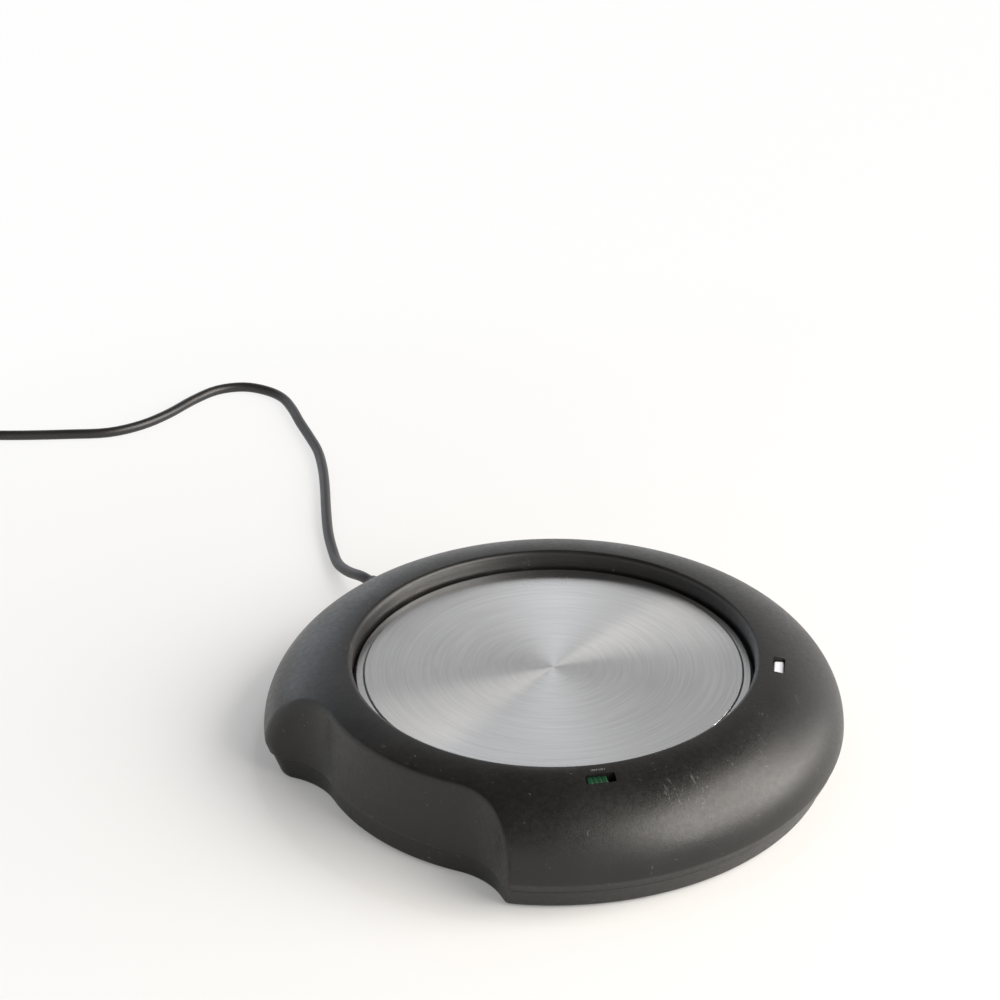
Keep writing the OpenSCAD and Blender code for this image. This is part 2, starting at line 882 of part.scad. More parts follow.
// A round tube swept along points, where side is never along the path
module tube(points, d, side = [0, 0, 1], sides = 8) {
    last = len(points) - 1;
    rings = [
        for (i = [0 : last])
            let (
                along = unit(points[min(i + 1, last)] - points[max(i - 1, 0)]),
                u = unit(cross(along, side)),
                v = cross(u, along)
            )
            for (k = [0 : sides - 1])
                let (t = 360 * (k + 0.5) / sides)
                points[i] + d / 2 * (cos(t) * u + sin(t) * v)
    ];
    skin = [
        for (i = [0 : last - 1], k = [0 : sides - 1])
            let (n = (k + 1) % sides)
            [i * sides + k, i * sides + n, (i + 1) * sides + n, (i + 1) * sides + k]
    ];
    ends = [
        [for (k = [sides - 1 : -1 : 0]) k],
        [for (k = [0 : sides - 1]) last * sides + k]
    ];
    polyhedron(rings, concat(skin, ends));
}

inner_end_r = clamp_r - clamp_w / 2 - cord_stub;
neck_in_r = cavity_r - flange_gap - flange_t;
relief_r = ring_r + 0.1;
relief_tip_r = relief_r + relief_l;
wire_z = floor_top + 1.8;
lead_x = -thermostat_l / 2 + 0.9;
lead_y = 1.2;
tube_side = [1, 0.3, 0.2];

function board_hole(i, z) = polar(wire_hole_r, wire_hole_angles[i], z);

// A wire comes up straight under its hole, and ends just above the board
function up_through(i) = [
    board_hole(i, board_under - 1.8), board_hole(i, board_under - 0.5), board_hole(i, board_top + 0.2)
];

// The two wires of the cord run side by side across the floor and up to the board
function supply_route(side, hole) = [
    polar(inner_end_r, exit_angle + 0.85 * side, cord_z),
    polar(inner_end_r - 7, exit_angle + 1.6 * side, wire_z + 0.2),
    [-8 - 0.8 * side, 10 - 0.8 * side, wire_z],
    [5 - 1.2 * side, -14, wire_z],
    [12 - 1.2 * side, -32, wire_z + 0.6],
    0.93 * board_hole(hole, (wire_z + board_under) / 2),
    each up_through(hole)
];

module supply_wire_red() color("#b3231f") {
    tube(smooth(supply_route(-1, 1), 3), wire_d, tube_side);
}

module supply_wire_black() color("#222222") {
    tube(smooth(supply_route(1, 0), 3), wire_d, tube_side);
}

// The film's wires are soldered under its tab, and reach down past the bracket
module heater_wires() color("#d8d3c8") {
    solder_r = film_r + 1.3;
    run_z = bracket_under - 3.4;
    tube(smooth([
        polar(solder_r, tab_angle + 3, film_under - LAP),
        polar(solder_r, tab_angle + 3, bracket_under + 0.6),
        polar(solder_r + 1.6, tab_angle + 5, run_z + 0.6),
        polar(wire_hole_r - 4, wire_hole_angles[2] - 2, run_z - 0.2),
        each up_through(2)
    ], 3), wire_d, tube_side);
    tube(smooth([
        polar(solder_r, tab_angle - 3, film_under - LAP),
        polar(solder_r, tab_angle - 3, bracket_under + 0.6),
        polar(solder_r - 1, tab_angle - 4.5, run_z + 1),
        polar(solder_r - 6, tab_angle - 8, run_z),
        [-2, -10, run_z],
        [lead_x + 0.8, -2.6, run_z + 0.8],
        [lead_x, -lead_y, bracket_under - 0.8],
        [lead_x, -lead_y, bracket_under],
        [lead_x, -lead_y, bracket_top - LAP]
    ], 3), wire_d, tube_side);
}

module thermostat_wire() color("#d8d3c8") {
    run_z = (wire_z + bracket_under) / 2 - 1;
    tube(smooth([
        [lead_x, lead_y, bracket_top - LAP],
        [lead_x, lead_y, bracket_under],
        [lead_x, lead_y, bracket_under - 0.8],
        [lead_x + 1.4, lead_y + 0.4, run_z + 1.4],
        [lead_x + 6, lead_y, run_z],
        [6, -8, run_z],
        0.82 * board_hole(3, run_z / 0.82),
        each up_through(3)
    ], 3), wire_d, tube_side);
}

// The strain relief is held in the wall by a flange inside and a collar outside
module strain_relief() color(body_black) {
    collar_t = 0.8;
    collar_bevel = 0.2;
    rib_deep = 0.35;
    rib_step = 0.4;
    first_rib = relief_r + collar_t + rib_step;
    rib_pitch = (relief_tip_r - first_rib - 1) / relief_ribs;
    collar_r = collar_d / 2;
    rib_r = collar_r - rib_step;
    tip_r = tip_d / 2;
    flange_under = floor_top + fit_gap - cord_z;
    around(exit_angle, 0, cord_z)
        difference() {
            union() {
                translate([neck_in_r, -neck_d / 2 - flange_w, flange_under])
                    cube([flange_t, neck_d + 2 * flange_w, neck_d / 2 + flange_w - flange_under]);
                rotate([0, 90, 0])
                    rotate_extrude()
                        polygon(concat(
                            [[0, neck_in_r + LAP], [neck_d / 2, neck_in_r + LAP], [neck_d / 2, relief_r]],
                            [[collar_r - collar_bevel, relief_r], [collar_r, relief_r + collar_bevel]],
                            [[collar_r, relief_r + collar_t], [collar_r - collar_bevel, first_rib - 0.2]],
                            [
                                for (i = [0 : relief_ribs - 1])
                                    let (
                                        x = first_rib + i * rib_pitch,
                                        r = rib_r - (rib_r - tip_r) * i / relief_ribs
                                    )
                                    each [
                                        [r - rib_deep, x], [r - rib_deep, x + 0.5 * rib_pitch],
                                        [r, x + 0.6 * rib_pitch], [r - 0.05, x + 0.95 * rib_pitch]
                                    ]
                            ],
                            [[tip_r, relief_tip_r - 0.8], [tip_r - 0.15, relief_tip_r], [0, relief_tip_r]]
                        ));
            }
            rotate([0, 90, 0])
                translate([0, 0, neck_in_r - 1])
                    cylinder(d = cord_d, h = relief_tip_r - neck_in_r + 2);
        }
}

module cord_inner_end() color(body_black) {
    around(exit_angle, 0, cord_z)
        rotate([0, 90, 0])
            translate([0, 0, inner_end_r])
                cylinder(d = cord_d, h = relief_tip_r - inner_end_r);
}

module cord_clamp() color("#3b3b3d") {
    around(exit_angle, clamp_r, cord_z)
        difference() {
            block(clamp_w, clamp_l, clamp_t, clamp_lift);
            for (side = [-1, 1])
                translate([0, side * clamp_screw_y, -1])
                    cylinder(d = small_screw_d + 2 * loose_gap, h = clamp_t + 3);
            rotate([0, 90, 0])
                cylinder(d = cord_d, h = 2 * clamp_w, center = true);
        }
}

module clamp_screws() color(zinc) {
    around(exit_angle, clamp_r, cord_z + clamp_lift + clamp_t)
        for (side = [-1, 1])
            translate([0, side * clamp_screw_y, 0])
                rotate([180, 0, 0])
                    screw(small_screw_d, small_screw_l);
}

// The free cord leaves the strain relief, comes down to the table and runs to its coil
exit_point = polar(relief_tip_r, exit_angle, cord_z);
lie = cord_d / 2;
cord_route = [
    exit_point,
    [-39, 55.5, 4.6], [-42, 60.5, 2.8], [-44.5, 66, 1.5], [-46, 72, lie], [-47.5, 80, lie],
    [-48.6, 90, lie], [-49.5, 100, lie], [-50.6, 109, lie], [-52.2, 117, lie], [-54.6, 124, lie],
    [-57.2, 131, lie], [-59.4, 137.5, lie], [-62, 143, lie], [-66, 146.8, lie], [-71.5, 148.8, lie],
    [-77.5, 147.2, lie], [-82.5, 142.2, lie], [-87.5, 135.3, lie], [-93, 129.8, lie], [-100, 126.2, lie],
    [-109, 125.4, lie], [-119, 125, lie], [-129, 124.7, lie + 0.2], [-135, 124.5, lie + 0.4],
    [-140.5, 124.5, lie + 0.5]
];

// The coil lies on its tie, and the cord runs into its lowest outer turn
coil_mid = [-146, 109.3];
tie_angle = -50;
tie_slack = 0.1;
tie_room = 0.4;
coil_w = coil_columns * cord_d;
coil_h = coil_layers * cord_d;
coil_out_r = coil_r + coil_w / 2 - cord_d / 2;

module cord_coil() color(body_black) {
    corner = cord_d / 2;
    translate([coil_mid.x, coil_mid.y, tie_t])
        rotate_extrude()
            polygon(concat(
                arc([coil_r + coil_w / 2 - corner, corner], corner, -90, 0, 4),
                arc([coil_r + coil_w / 2 - corner, coil_h - corner], corner, 0, 90, 4),
                arc([coil_r - coil_w / 2 + corner, coil_h - corner], corner, 90, 180, 4),
                arc([coil_r - coil_w / 2 + corner, corner], corner, 180, 270, 4)
            ));
}

module coil_tie() color("#1a1a1b") {
    translate([coil_mid.x, coil_mid.y, 0])
        rotate([0, 0, tie_angle])
            translate([coil_r, 0, 0])
                difference() {
                    block(coil_w + 2 * tie_t + 2 * tie_room, tie_w, coil_h + 2 * tie_t + tie_slack);
                    block(coil_w + 2 * tie_room, tie_w + 2, coil_h + tie_slack, tie_t);
                }
}

// The tail comes off the top of the coil and comes down to the plug
plug_x = coil_mid.x - coil_out_r;
plug_y = 88;
plug_z = grip_h / 2;
tail_route = [
    [plug_x - 0.3, 104.6, 7.9], [plug_x - 0.3, 101, 6.7], [plug_x - 0.2, 96.5, 5], [plug_x, 92, plug_z],
    [plug_x, plug_y, plug_z]
];

module usb_cord() color(body_black) {
    tube(smooth(cord_route, 2), cord_d);
}

module usb_cord_tail() color(body_black) {
    tube(smooth(tail_route, 2), cord_d);
}

// Places its children on the plug's axis, with x pointing the way it plugs in
module on_plug() {
    translate([plug_x, plug_y, plug_z])
        rotate([0, 0, -90])
            children();
}

module rounded_plan(l, w, r) {
    hull()
        for (x = [r, l - r], y = [-w / 2 + r, w / 2 - r])
            translate([x, y])
                circle(r, $fn = 32);
}

module usb_plug_grip() color(body_black) {
    bevel = 0.8;
    corner = 2.6;
    on_plug()
        difference() {
            union() {
                hull() {
                    translate([tail_l, 0, -grip_h / 2])
                        linear_extrude(grip_h)
                            translate([bevel, 0])
                                rounded_plan(grip_l - 2 * bevel, grip_w - 2 * bevel, corner - bevel);
                    translate([tail_l, 0, -grip_h / 2 + bevel])
                        linear_extrude(grip_h - 2 * bevel)
                            rounded_plan(grip_l, grip_w, corner);
                }
                rotate([0, 90, 0])
                    cylinder(d1 = tip_d, d2 = collar_d, h = tail_l + 1);
            }
            translate([shell_start, -shell_w / 2, -shell_h / 2])
                cube([shell_in + 1, shell_w, shell_h]);
        }
}

shell_start = tail_l + grip_l - shell_in;
shell_end = tail_l + grip_l + shell_l;
// The two holes in the shell's broad faces
shell_hole = 2.3;
shell_hole_back = 6.4;
tongue_under = shell_t - shell_h / 2;
contact_y = [-3.5, -1, 1, 3.5];
contact_w = 1;
contact_deep = 0.2;

module usb_plug_shell() color(steel) {
    on_plug()
        difference() {
            translate([shell_start, -shell_w / 2, -shell_h / 2])
                cube([shell_end - shell_start, shell_w, shell_h]);
            translate([shell_start + 1, -shell_w / 2 + shell_t, -shell_h / 2 + shell_t])
                cube([shell_end - shell_start, shell_w - 2 * shell_t, shell_h - 2 * shell_t]);
            for (y = [-shell_w / 4, shell_w / 4])
                translate([shell_end - shell_hole_back, y - shell_hole / 2, -shell_h])
                    cube([shell_hole, shell_hole, 2 * shell_h]);
        }
}

// The places of the contacts on the tongue
module contact_places() {
    on_plug()
        for (y = contact_y)
            translate([shell_start + 3, y - contact_w / 2, tongue_under + tongue_thick - contact_deep])
                children();
}

module usb_plug_tongue() color("#e9e9e6") {
    difference() {
        on_plug()
            translate([shell_start + 1, -shell_w / 2 + shell_t, tongue_under])
                cube([shell_end - tongue_back - shell_start - 1, shell_w - 2 * shell_t, tongue_thick]);
        contact_places()
            cube([shell_l, contact_w, 1]);
    }
}

module usb_plug_contacts() color(brass) {
    contact_places()
        cube([shell_l, contact_w, contact_deep + 0.05]);
}

top_cover();
base_cover();
rubber_feet();
case_screws();
hot_plate();
plate_seal();
heating_film();
insulation_pad();
thermostat();
heater_bracket();
bracket_screws();
circuit_board();
board_screws();
switch_base();
switch_frame();
switch_terminals();
switch_contact();
switch_button();
indicator_led();
led_leads();
led_resistor();
supply_wire_red();
supply_wire_black();
heater_wires();
thermostat_wire();
strain_relief();
cord_inner_end();
cord_clamp();
clamp_screws();
usb_cord();
cord_coil();
coil_tie();
usb_cord_tail();
usb_plug_grip();
usb_plug_shell();
usb_plug_tongue();
usb_plug_contacts();
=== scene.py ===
"""An electric mug warmer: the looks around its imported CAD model.

Shapes are worked out in millimetres in the row frame, and become metres when a mesh or curve is made.
"""

import json
import math

import bmesh
import bpy
import numpy as np
from mathutils import Matrix, Vector

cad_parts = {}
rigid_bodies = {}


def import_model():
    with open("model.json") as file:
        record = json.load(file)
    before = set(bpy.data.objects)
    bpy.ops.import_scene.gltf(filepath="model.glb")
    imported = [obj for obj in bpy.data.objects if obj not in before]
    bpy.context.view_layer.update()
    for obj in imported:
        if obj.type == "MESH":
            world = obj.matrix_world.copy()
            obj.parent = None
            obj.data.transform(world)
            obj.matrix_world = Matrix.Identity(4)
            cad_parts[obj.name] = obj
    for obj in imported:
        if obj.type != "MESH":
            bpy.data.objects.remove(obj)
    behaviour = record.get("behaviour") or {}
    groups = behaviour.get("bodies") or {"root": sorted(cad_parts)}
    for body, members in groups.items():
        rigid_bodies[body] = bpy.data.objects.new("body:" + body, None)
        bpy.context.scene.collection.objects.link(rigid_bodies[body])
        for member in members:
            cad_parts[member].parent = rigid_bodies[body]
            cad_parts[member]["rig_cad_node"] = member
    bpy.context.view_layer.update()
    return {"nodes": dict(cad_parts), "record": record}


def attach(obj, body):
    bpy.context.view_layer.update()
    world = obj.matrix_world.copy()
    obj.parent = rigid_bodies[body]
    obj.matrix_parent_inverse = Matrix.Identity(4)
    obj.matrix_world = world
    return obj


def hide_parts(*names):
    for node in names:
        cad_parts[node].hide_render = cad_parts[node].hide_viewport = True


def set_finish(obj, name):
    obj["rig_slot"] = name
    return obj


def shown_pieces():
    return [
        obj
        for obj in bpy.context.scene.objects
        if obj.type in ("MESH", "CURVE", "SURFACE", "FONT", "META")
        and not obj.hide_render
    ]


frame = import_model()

NODES = frame["nodes"]
MM = 0.001

# The ring, as in the CAD model
RING_R = 54.0
CREST_R, CREST_H = 37.9, 20.6
BELLY_H, BELLY_ROUND, SIDE_LEAN = 7.1, 1.6, 22.0
DOME_POWER = 1.94
LIP_R, LIP_ROUND = 37.3, 0.9
WALL = 2.0
PARTING_H, PARTING_ROUND = 5.0, 0.3
BASE_R, BASE_FOOT, BASE_TOP, BASE_STEP = 52.98, 0.5, 4.85, 0.4
LEDGE_R, LEDGE_TOP, LEDGE_UNDER = 33.3, 15.95, 13.95
SCOOP_ANGLE, SCOOP_R, SCOOP_HALF = 226.5, 44.9, 35.5
SCOOP_FLARE, SCOOP_BLEND = 32.0, 14.0
SCOOP_DRAFT = 0.048
NECK_HOLE_D = 4.3
PLATE_R, PLATE_TOP, PLATE_T, PLATE_RIM, PLATE_STEP = 36.6, 17.4, 0.6, 1.3, 0.35

# The bosses that hang in the ring: directions, radius, diameter and foot,
# and the diameter, foot and depth of the hole. BOSS_COVER is how far under the dome's outside they end.
CASE_BOSSES = (45, 182, 268), 42.8, 5.6, 6.0, (2.3, 3.0, 9.3)
BOARD_BOSSES = (301, 337), 42.7, 3.8, 13.72, (1.7, 12.12, 3.7)
EAR_BOSSES = (30, 150, 270), 35.2, 3.8, 13.0, (1.7, 12.0, 3.7)
BOSS_COVER = 0.8

# The windows, and the button and the indicator in them
SWITCH_ANGLE, LED_ANGLE, WINDOW_R = 281.3, 354.6, 41.6
SWITCH_WINDOW = (2.2, 5.3)
LED_WINDOW = (2.2, 5.2)
WINDOW_CORNER, WINDOW_CUT = 0.35, (16.0, 24.0)
BUTTON_MID, BUTTON_L, BUTTON_W, BUTTON_SINK = -0.65, 3.7, 1.9, 0.2
CARRIAGE_L, CARRIAGE_W, CARRIAGE_Z = 5.7, 2.9, (15.12, 16.87)
LED_SIZE, LED_FLANGE, LED_DEPTH = (2.0, 5.0), 0.3, 0.8
BOARD_TOP = 13.72
MARK_R, MARK_SIZE, MARK_THICK, MARK_LIFT = 39.75, 0.72, 0.02, 0.002
MARK_OFF_SHIFT, MARK_ON_SHIFT = -0.75, 0.6

# The cord, as in the CAD model
CORD_D = 2.2
EXIT_ANGLE, EXIT_R, EXIT_Z = 125.0, 64.1, 5.0
LIE = CORD_D / 2
COIL_MID = (-146.0, 109.3)
COIL_R, COIL_COLUMNS, COIL_LAYERS = 13.0, 3, 4
TIE_T, TIE_W, TIE_ANGLE = 0.5, 5.0, -50.0
PLUG_X, PLUG_Y, PLUG_Z = COIL_MID[0] - COIL_R - CORD_D, 88.0, 4.0
PLUG_TAIL, GRIP_L, GRIP_W, GRIP_H = 10.0, 22.0, 15.6, 8.0

# The camera, as it stood for the photograph
CAMERA_BACK, CAMERA_UP = 0.4736, 0.3127
CAMERA_PITCH, CAMERA_ROLL, CAMERA_YAW = 0.502, -0.013, -0.020
CAMERA_LENS, SENSOR = 108.25, 36.0


def polar(r, degrees, z):
    angle = math.radians(degrees)
    return (r * math.cos(angle), r * math.sin(angle), z)


def smoothstep(t):
    t = np.clip(t, 0, 1)
    return t * t * (3 - 2 * t)


# ---- Camera ----

def make_camera():
    cos_p, sin_p = math.cos(CAMERA_PITCH), math.sin(CAMERA_PITCH)
    cos_y, sin_y = math.cos(CAMERA_YAW), math.sin(CAMERA_YAW)
    cos_r, sin_r = math.cos(CAMERA_ROLL), math.sin(CAMERA_ROLL)
    ahead = Vector((sin_y * cos_p, cos_y * cos_p, -sin_p))
    level = Vector((cos_y, -sin_y, 0))
    over = level.cross(ahead)
    right = cos_r * level + sin_r * over
    up = cos_r * over - sin_r * level
    data = bpy.data.cameras.new("camera")
    data.lens = CAMERA_LENS
    data.sensor_width = SENSOR
    camera = bpy.data.objects.new("camera", data)
    camera.matrix_world = Matrix.Translation((0, -CAMERA_BACK, CAMERA_UP)) @ Matrix(
        (right, up, -ahead)
    ).transposed().to_4x4()
    bpy.context.scene.collection.objects.link(camera)
    bpy.context.scene.camera = camera


make_camera()


# ---- Making meshes ----

def new_object(name, data, body="case"):
    piece = bpy.data.objects.new(name, data)
    bpy.context.scene.collection.objects.link(piece)
    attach(piece, body)
    return piece


def mesh_piece(name, points, faces, body="case"):
    """A smooth-shaded mesh from points in millimetres."""
    mesh = bpy.data.meshes.new(name)
    mesh.from_pydata([tuple(p) for p in np.asarray(points) * MM], [], faces)
    mesh.validate()
    mesh.shade_smooth()
    return new_object(name, mesh, body)


def mesh_of(name, data):
    """The mesh of a curve or a text."""
    holder = bpy.data.objects.new(name, data)
    bpy.context.scene.collection.objects.link(holder)
    graph = bpy.context.evaluated_depsgraph_get()
    mesh = bpy.data.meshes.new_from_object(holder.evaluated_get(graph))
    bpy.data.objects.remove(holder)
    return mesh


def grid_faces(rows, columns, closed_rows=True, flip=False):
    """Quads between the points of a grid, whose point (i, j) is number i * columns + j.

    The last column joins the first, and the last row joins the first where closed_rows says so.
    """
    faces = []
    for i in range(rows if closed_rows else rows - 1):
        for j in range(columns):
            k, m = (i + 1) % rows, (j + 1) % columns
            face = (i * columns + j, k * columns + j, k * columns + m, i * columns + m)
            faces.append(face[::-1] if flip else face)
    return faces


def apply_modifiers(piece):
    """Leaves the piece with the mesh that its modifiers make."""
    graph = bpy.context.evaluated_depsgraph_get()
    mesh = bpy.data.meshes.new_from_object(
        piece.evaluated_get(graph), preserve_all_data_layers=True, depsgraph=graph
    )
    piece.modifiers.clear()
    piece.data = mesh


def arc(x, y, r, start, end, count):
    """This many points on an arc, from one angle in degrees to another."""
    turns = np.radians(np.linspace(start, end, count))
    return [(x + r * math.cos(t), y + r * math.sin(t)) for t in turns]


def rounded_rectangle(width, length, corner, steps=4):
    """Its outline round the origin, with this many steps round each corner."""
    x, y = width / 2 - corner, length / 2 - corner
    outline = []
    for cx, cy, start in ((x, y, 0), (-x, y, 90), (-x, -y, 180), (x, -y, 270)):
        outline += arc(cx, cy, corner, start, start + 90, steps + 1)
    return outline


def around(r, turns, z):
    """Points at these radii, angles in radians and heights."""
    return np.column_stack([r * np.cos(turns), r * np.sin(turns), np.broadcast_to(z, turns.shape)])


def loft(outlines):
    """Points and faces of a closed solid through outlines with equally many points, from its foot up."""
    points = np.vstack(outlines)
    count = len(outlines[0])
    faces = grid_faces(len(outlines), count, closed_rows=False, flip=True)
    faces += [tuple(reversed(range(count))), tuple(range(len(points) - count, len(points)))]
    return points, faces


def stack(*levels, mid_y=0.0):
    """A solid of rounded rectangles, each given as its width, length, corner and height."""
    return loft([
        np.array([(x, y + mid_y, z) for x, y in rounded_rectangle(width, length, corner)])
        for width, length, corner, z in levels
    ])


def lathe(profile, steps=180):
    """A solid turned round the Z axis from a profile that runs from its foot out and up to its top."""
    turns = np.linspace(0, 2 * np.pi, steps, endpoint=False)
    return loft([around(r, turns, z) for r, z in profile])


def on_radius(points, angle, r=WINDOW_R):
    """Places points on a radius, with x pointing outwards."""
    turn = np.array(Matrix.Rotation(math.radians(angle), 3, "Z"))
    return (points + (r, 0, 0)) @ turn.T


def tool(name, angle, r, solid):
    """A solid that is added to a piece or cut from it, and then removed."""
    points, faces = solid
    mesh = bpy.data.meshes.new(name)
    mesh.from_pydata([tuple(p) for p in on_radius(points, angle, r) * MM], [], faces)
    piece = bpy.data.objects.new(name, mesh)
    bpy.context.scene.collection.objects.link(piece)
    return piece


def combine(piece, operation, tools):
    """Adds solids to the piece, cuts them from it, or keeps what lies inside them."""
    for other in tools:
        modifier = piece.modifiers.new(operation.lower(), "BOOLEAN")
        modifier.operation = operation
        modifier.solver = "MANIFOLD"
        modifier.object = other
    apply_modifiers(piece)
    for other in tools:
        bpy.data.objects.remove(other)


def sharpen(mesh, degrees=35):
    """Smooth shading, with the edges that bend more than this left sharp."""
    mesh.shade_smooth()
    mesh.set_sharp_from_angle(angle=math.radians(degrees))


def even_normals(piece, degrees=35):
    """The same, with normals that follow the larger faces, so that flat places shade flat."""
    sharpen(piece.data, degrees)
    modifier = piece.modifiers.new("normals", "WEIGHTED_NORMAL")
    modifier.keep_sharp = True
    apply_modifiers(piece)


# ---- Cord ----

CORD_ROUTE = [
    polar(EXIT_R, EXIT_ANGLE, EXIT_Z),
    (-39, 55.5, 4.6), (-42, 60.5, 2.8), (-44.5, 66, 1.5), (-46, 72, LIE), (-47.5, 80, LIE),
    (-48.6, 90, LIE), (-49.5, 100, LIE), (-50.6, 109, LIE), (-52.2, 117, LIE), (-54.6, 124, LIE),
    (-57.2, 131, LIE), (-59.4, 137.5, LIE), (-62, 143, LIE), (-66, 146.8, LIE), (-71.5, 148.8, LIE),
    (-77.5, 147.2, LIE), (-82.5, 142.2, LIE), (-87.5, 135.3, LIE), (-93, 129.8, LIE), (-100, 126.2, LIE),
    (-109, 125.4, LIE), (-119, 125, LIE), (-129, 124.7, LIE + 0.2), (-135, 124.5, LIE + 0.4),
    (-140.5, 124.5, LIE + 0.5),
]
TAIL_ROUTE = [
    (PLUG_X - 0.2, 104.6, 8.2), (PLUG_X - 0.3, 101, 7.6), (PLUG_X - 0.3, 96.5, 5.9),
    (PLUG_X, 92, 4.4), (PLUG_X, PLUG_Y, PLUG_Z), (PLUG_X, PLUG_Y - 4, PLUG_Z),
]
ROUTE_STEPS, TURN_STEPS = 4, 32

# Where round the coil the last turn's shift begins, how many degrees a shift takes,
# and by what share of these the one before begins later
SHIFT_FROM, SHIFT_SPAN, SHIFT_LAG = 100.0, 90.0, 0.3


def smooth(points, steps):
    """A smooth curve through the points, with this many steps between each two."""
    p = np.array([points[0], *points, points[-1]], float)
    out = []
    for a, b, c, d in zip(p, p[1:], p[2:], p[3:]):
        for t in np.arange(steps) / steps:
            out.append(0.5 * (
                2 * b + (c - a) * t + (2 * a - 5 * b + 4 * c - d) * t**2
                + (3 * b - a - 3 * c + d) * t**3
            ))
    return [tuple(q) for q in [*out, p[-1]]]


def coil_cells():
    """The radius, height and layer of each turn as wound: one layer inwards, the next outwards."""
    cells = []
    for layer in range(COIL_LAYERS):
        columns = range(COIL_COLUMNS)
        for column in (reversed(columns) if layer % 2 == 0 else columns):
            r = COIL_R + (column - (COIL_COLUMNS - 1) / 2) * CORD_D
            cells.append((r, TIE_T + (layer + 0.5) * CORD_D, layer))
    return cells


def coil_points():
    """The turns of the coil. Each turn shifts into the place that the one wound after it has left."""
    cells = coil_cells()
    starts, start = {}, SHIFT_FROM
    for turn in range(len(cells) - 2, -1, -1):
        starts[turn] = start
        level_next = turn > 0 and cells[turn - 1][2] == cells[turn][2] == cells[turn + 1][2]
        if not level_next:
            start += SHIFT_LAG * SHIFT_SPAN
    points = []
    steps = (len(cells) - 1) * TURN_STEPS + TURN_STEPS // 4
    for step in range(1, steps + 1):
        turn, rest = divmod(step, TURN_STEPS)
        here = np.array(cells[turn][:2])
        if turn in starts:
            moved = smoothstep((360 * rest / TURN_STEPS - starts[turn]) / SHIFT_SPAN)
            here = here + (np.array(cells[turn + 1][:2]) - here) * moved
        x, y, z = polar(here[0], 90 + 360 * step / TURN_STEPS, here[1])
        points.append((COIL_MID[0] + x, COIL_MID[1] + y, z))
    return points


def make_cord():
    top_of_coil = (COIL_MID[0], COIL_MID[1] + COIL_R + CORD_D, TIE_T + LIE)
    points = [
        *smooth([*CORD_ROUTE, top_of_coil], ROUTE_STEPS),
        *coil_points(),
        *smooth(TAIL_ROUTE, ROUTE_STEPS),
    ]
    curve = bpy.data.curves.new("usb_lead", "CURVE")
    curve.dimensions = "3D"
    curve.bevel_depth = CORD_D / 2 * MM
    curve.bevel_resolution = 5
    curve.use_fill_caps = True
    line = curve.splines.new("POLY")
    line.points.add(len(points) - 1)
    for point, place in zip(line.points, points):
        point.co = (*(c * MM for c in place), 1)
    line.use_smooth = True
    tube = mesh_of("usb_lead_line", curve)
    lead = new_object("usb_lead", tube)
    sharpen(tube, 60)
    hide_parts("usb_cord", "cord_coil", "usb_cord_tail")
    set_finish(lead, "cord_pvc")
    return lead, points


lead, lead_points = make_cord()


# ---- The tie and the plug on the cord ----

def make_tie():
    """A strap round the coil, whose outer side waves a little above the table."""
    room, slack, corner, steps = 0.4, 0.1, 1.5, 6
    wave, wave_y, wave_x, wave_above = 0.04, 3, 1.7, 0.99
    width = COIL_COLUMNS * CORD_D + 2 * (room + TIE_T)
    height = COIL_LAYERS * CORD_D + 2 * TIE_T + slack
    outer = rounded_rectangle(width, height, corner, steps)
    inner = rounded_rectangle(width - 2 * TIE_T, height - 2 * TIE_T, corner - TIE_T, steps)
    across = np.linspace(-TIE_W / 2, TIE_W / 2, 9)
    points = []
    for places in zip(outer, inner):
        for (x, from_mid), ys in zip(places, (across, across[::-1])):
            z = from_mid + height / 2
            waves = x > 0 and z >= wave_above
            for y in ys:
                out = wave * math.sin(wave_y * y) * math.sin(wave_x * x) if waves else 0
                points.append((COIL_R + x + out, y, z))
    turn = np.array(Matrix.Rotation(math.radians(TIE_ANGLE), 3, "Z"))
    points = points @ turn.T + (*COIL_MID, 0)
    tie = mesh_piece("hook_and_loop_tie", points, grid_faces(len(outer), 2 * len(across), flip=True))
    sharpen(tie.data)
    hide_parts("coil_tie")
    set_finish(tie, "tie_fabric")
    return tie


def super_ellipse(half_w, half_h, power, steps=64):
    """An ellipse where power is 2, and squarer the larger it is."""
    out = []
    for i in range(steps):
        t = 2 * math.pi * i / steps
        c, s = math.cos(t), math.sin(t)
        out.append((
            half_w * math.copysign(abs(c) ** (2 / power), c),
            half_h * math.copysign(abs(s) ** (2 / power), s),
        ))
    return out


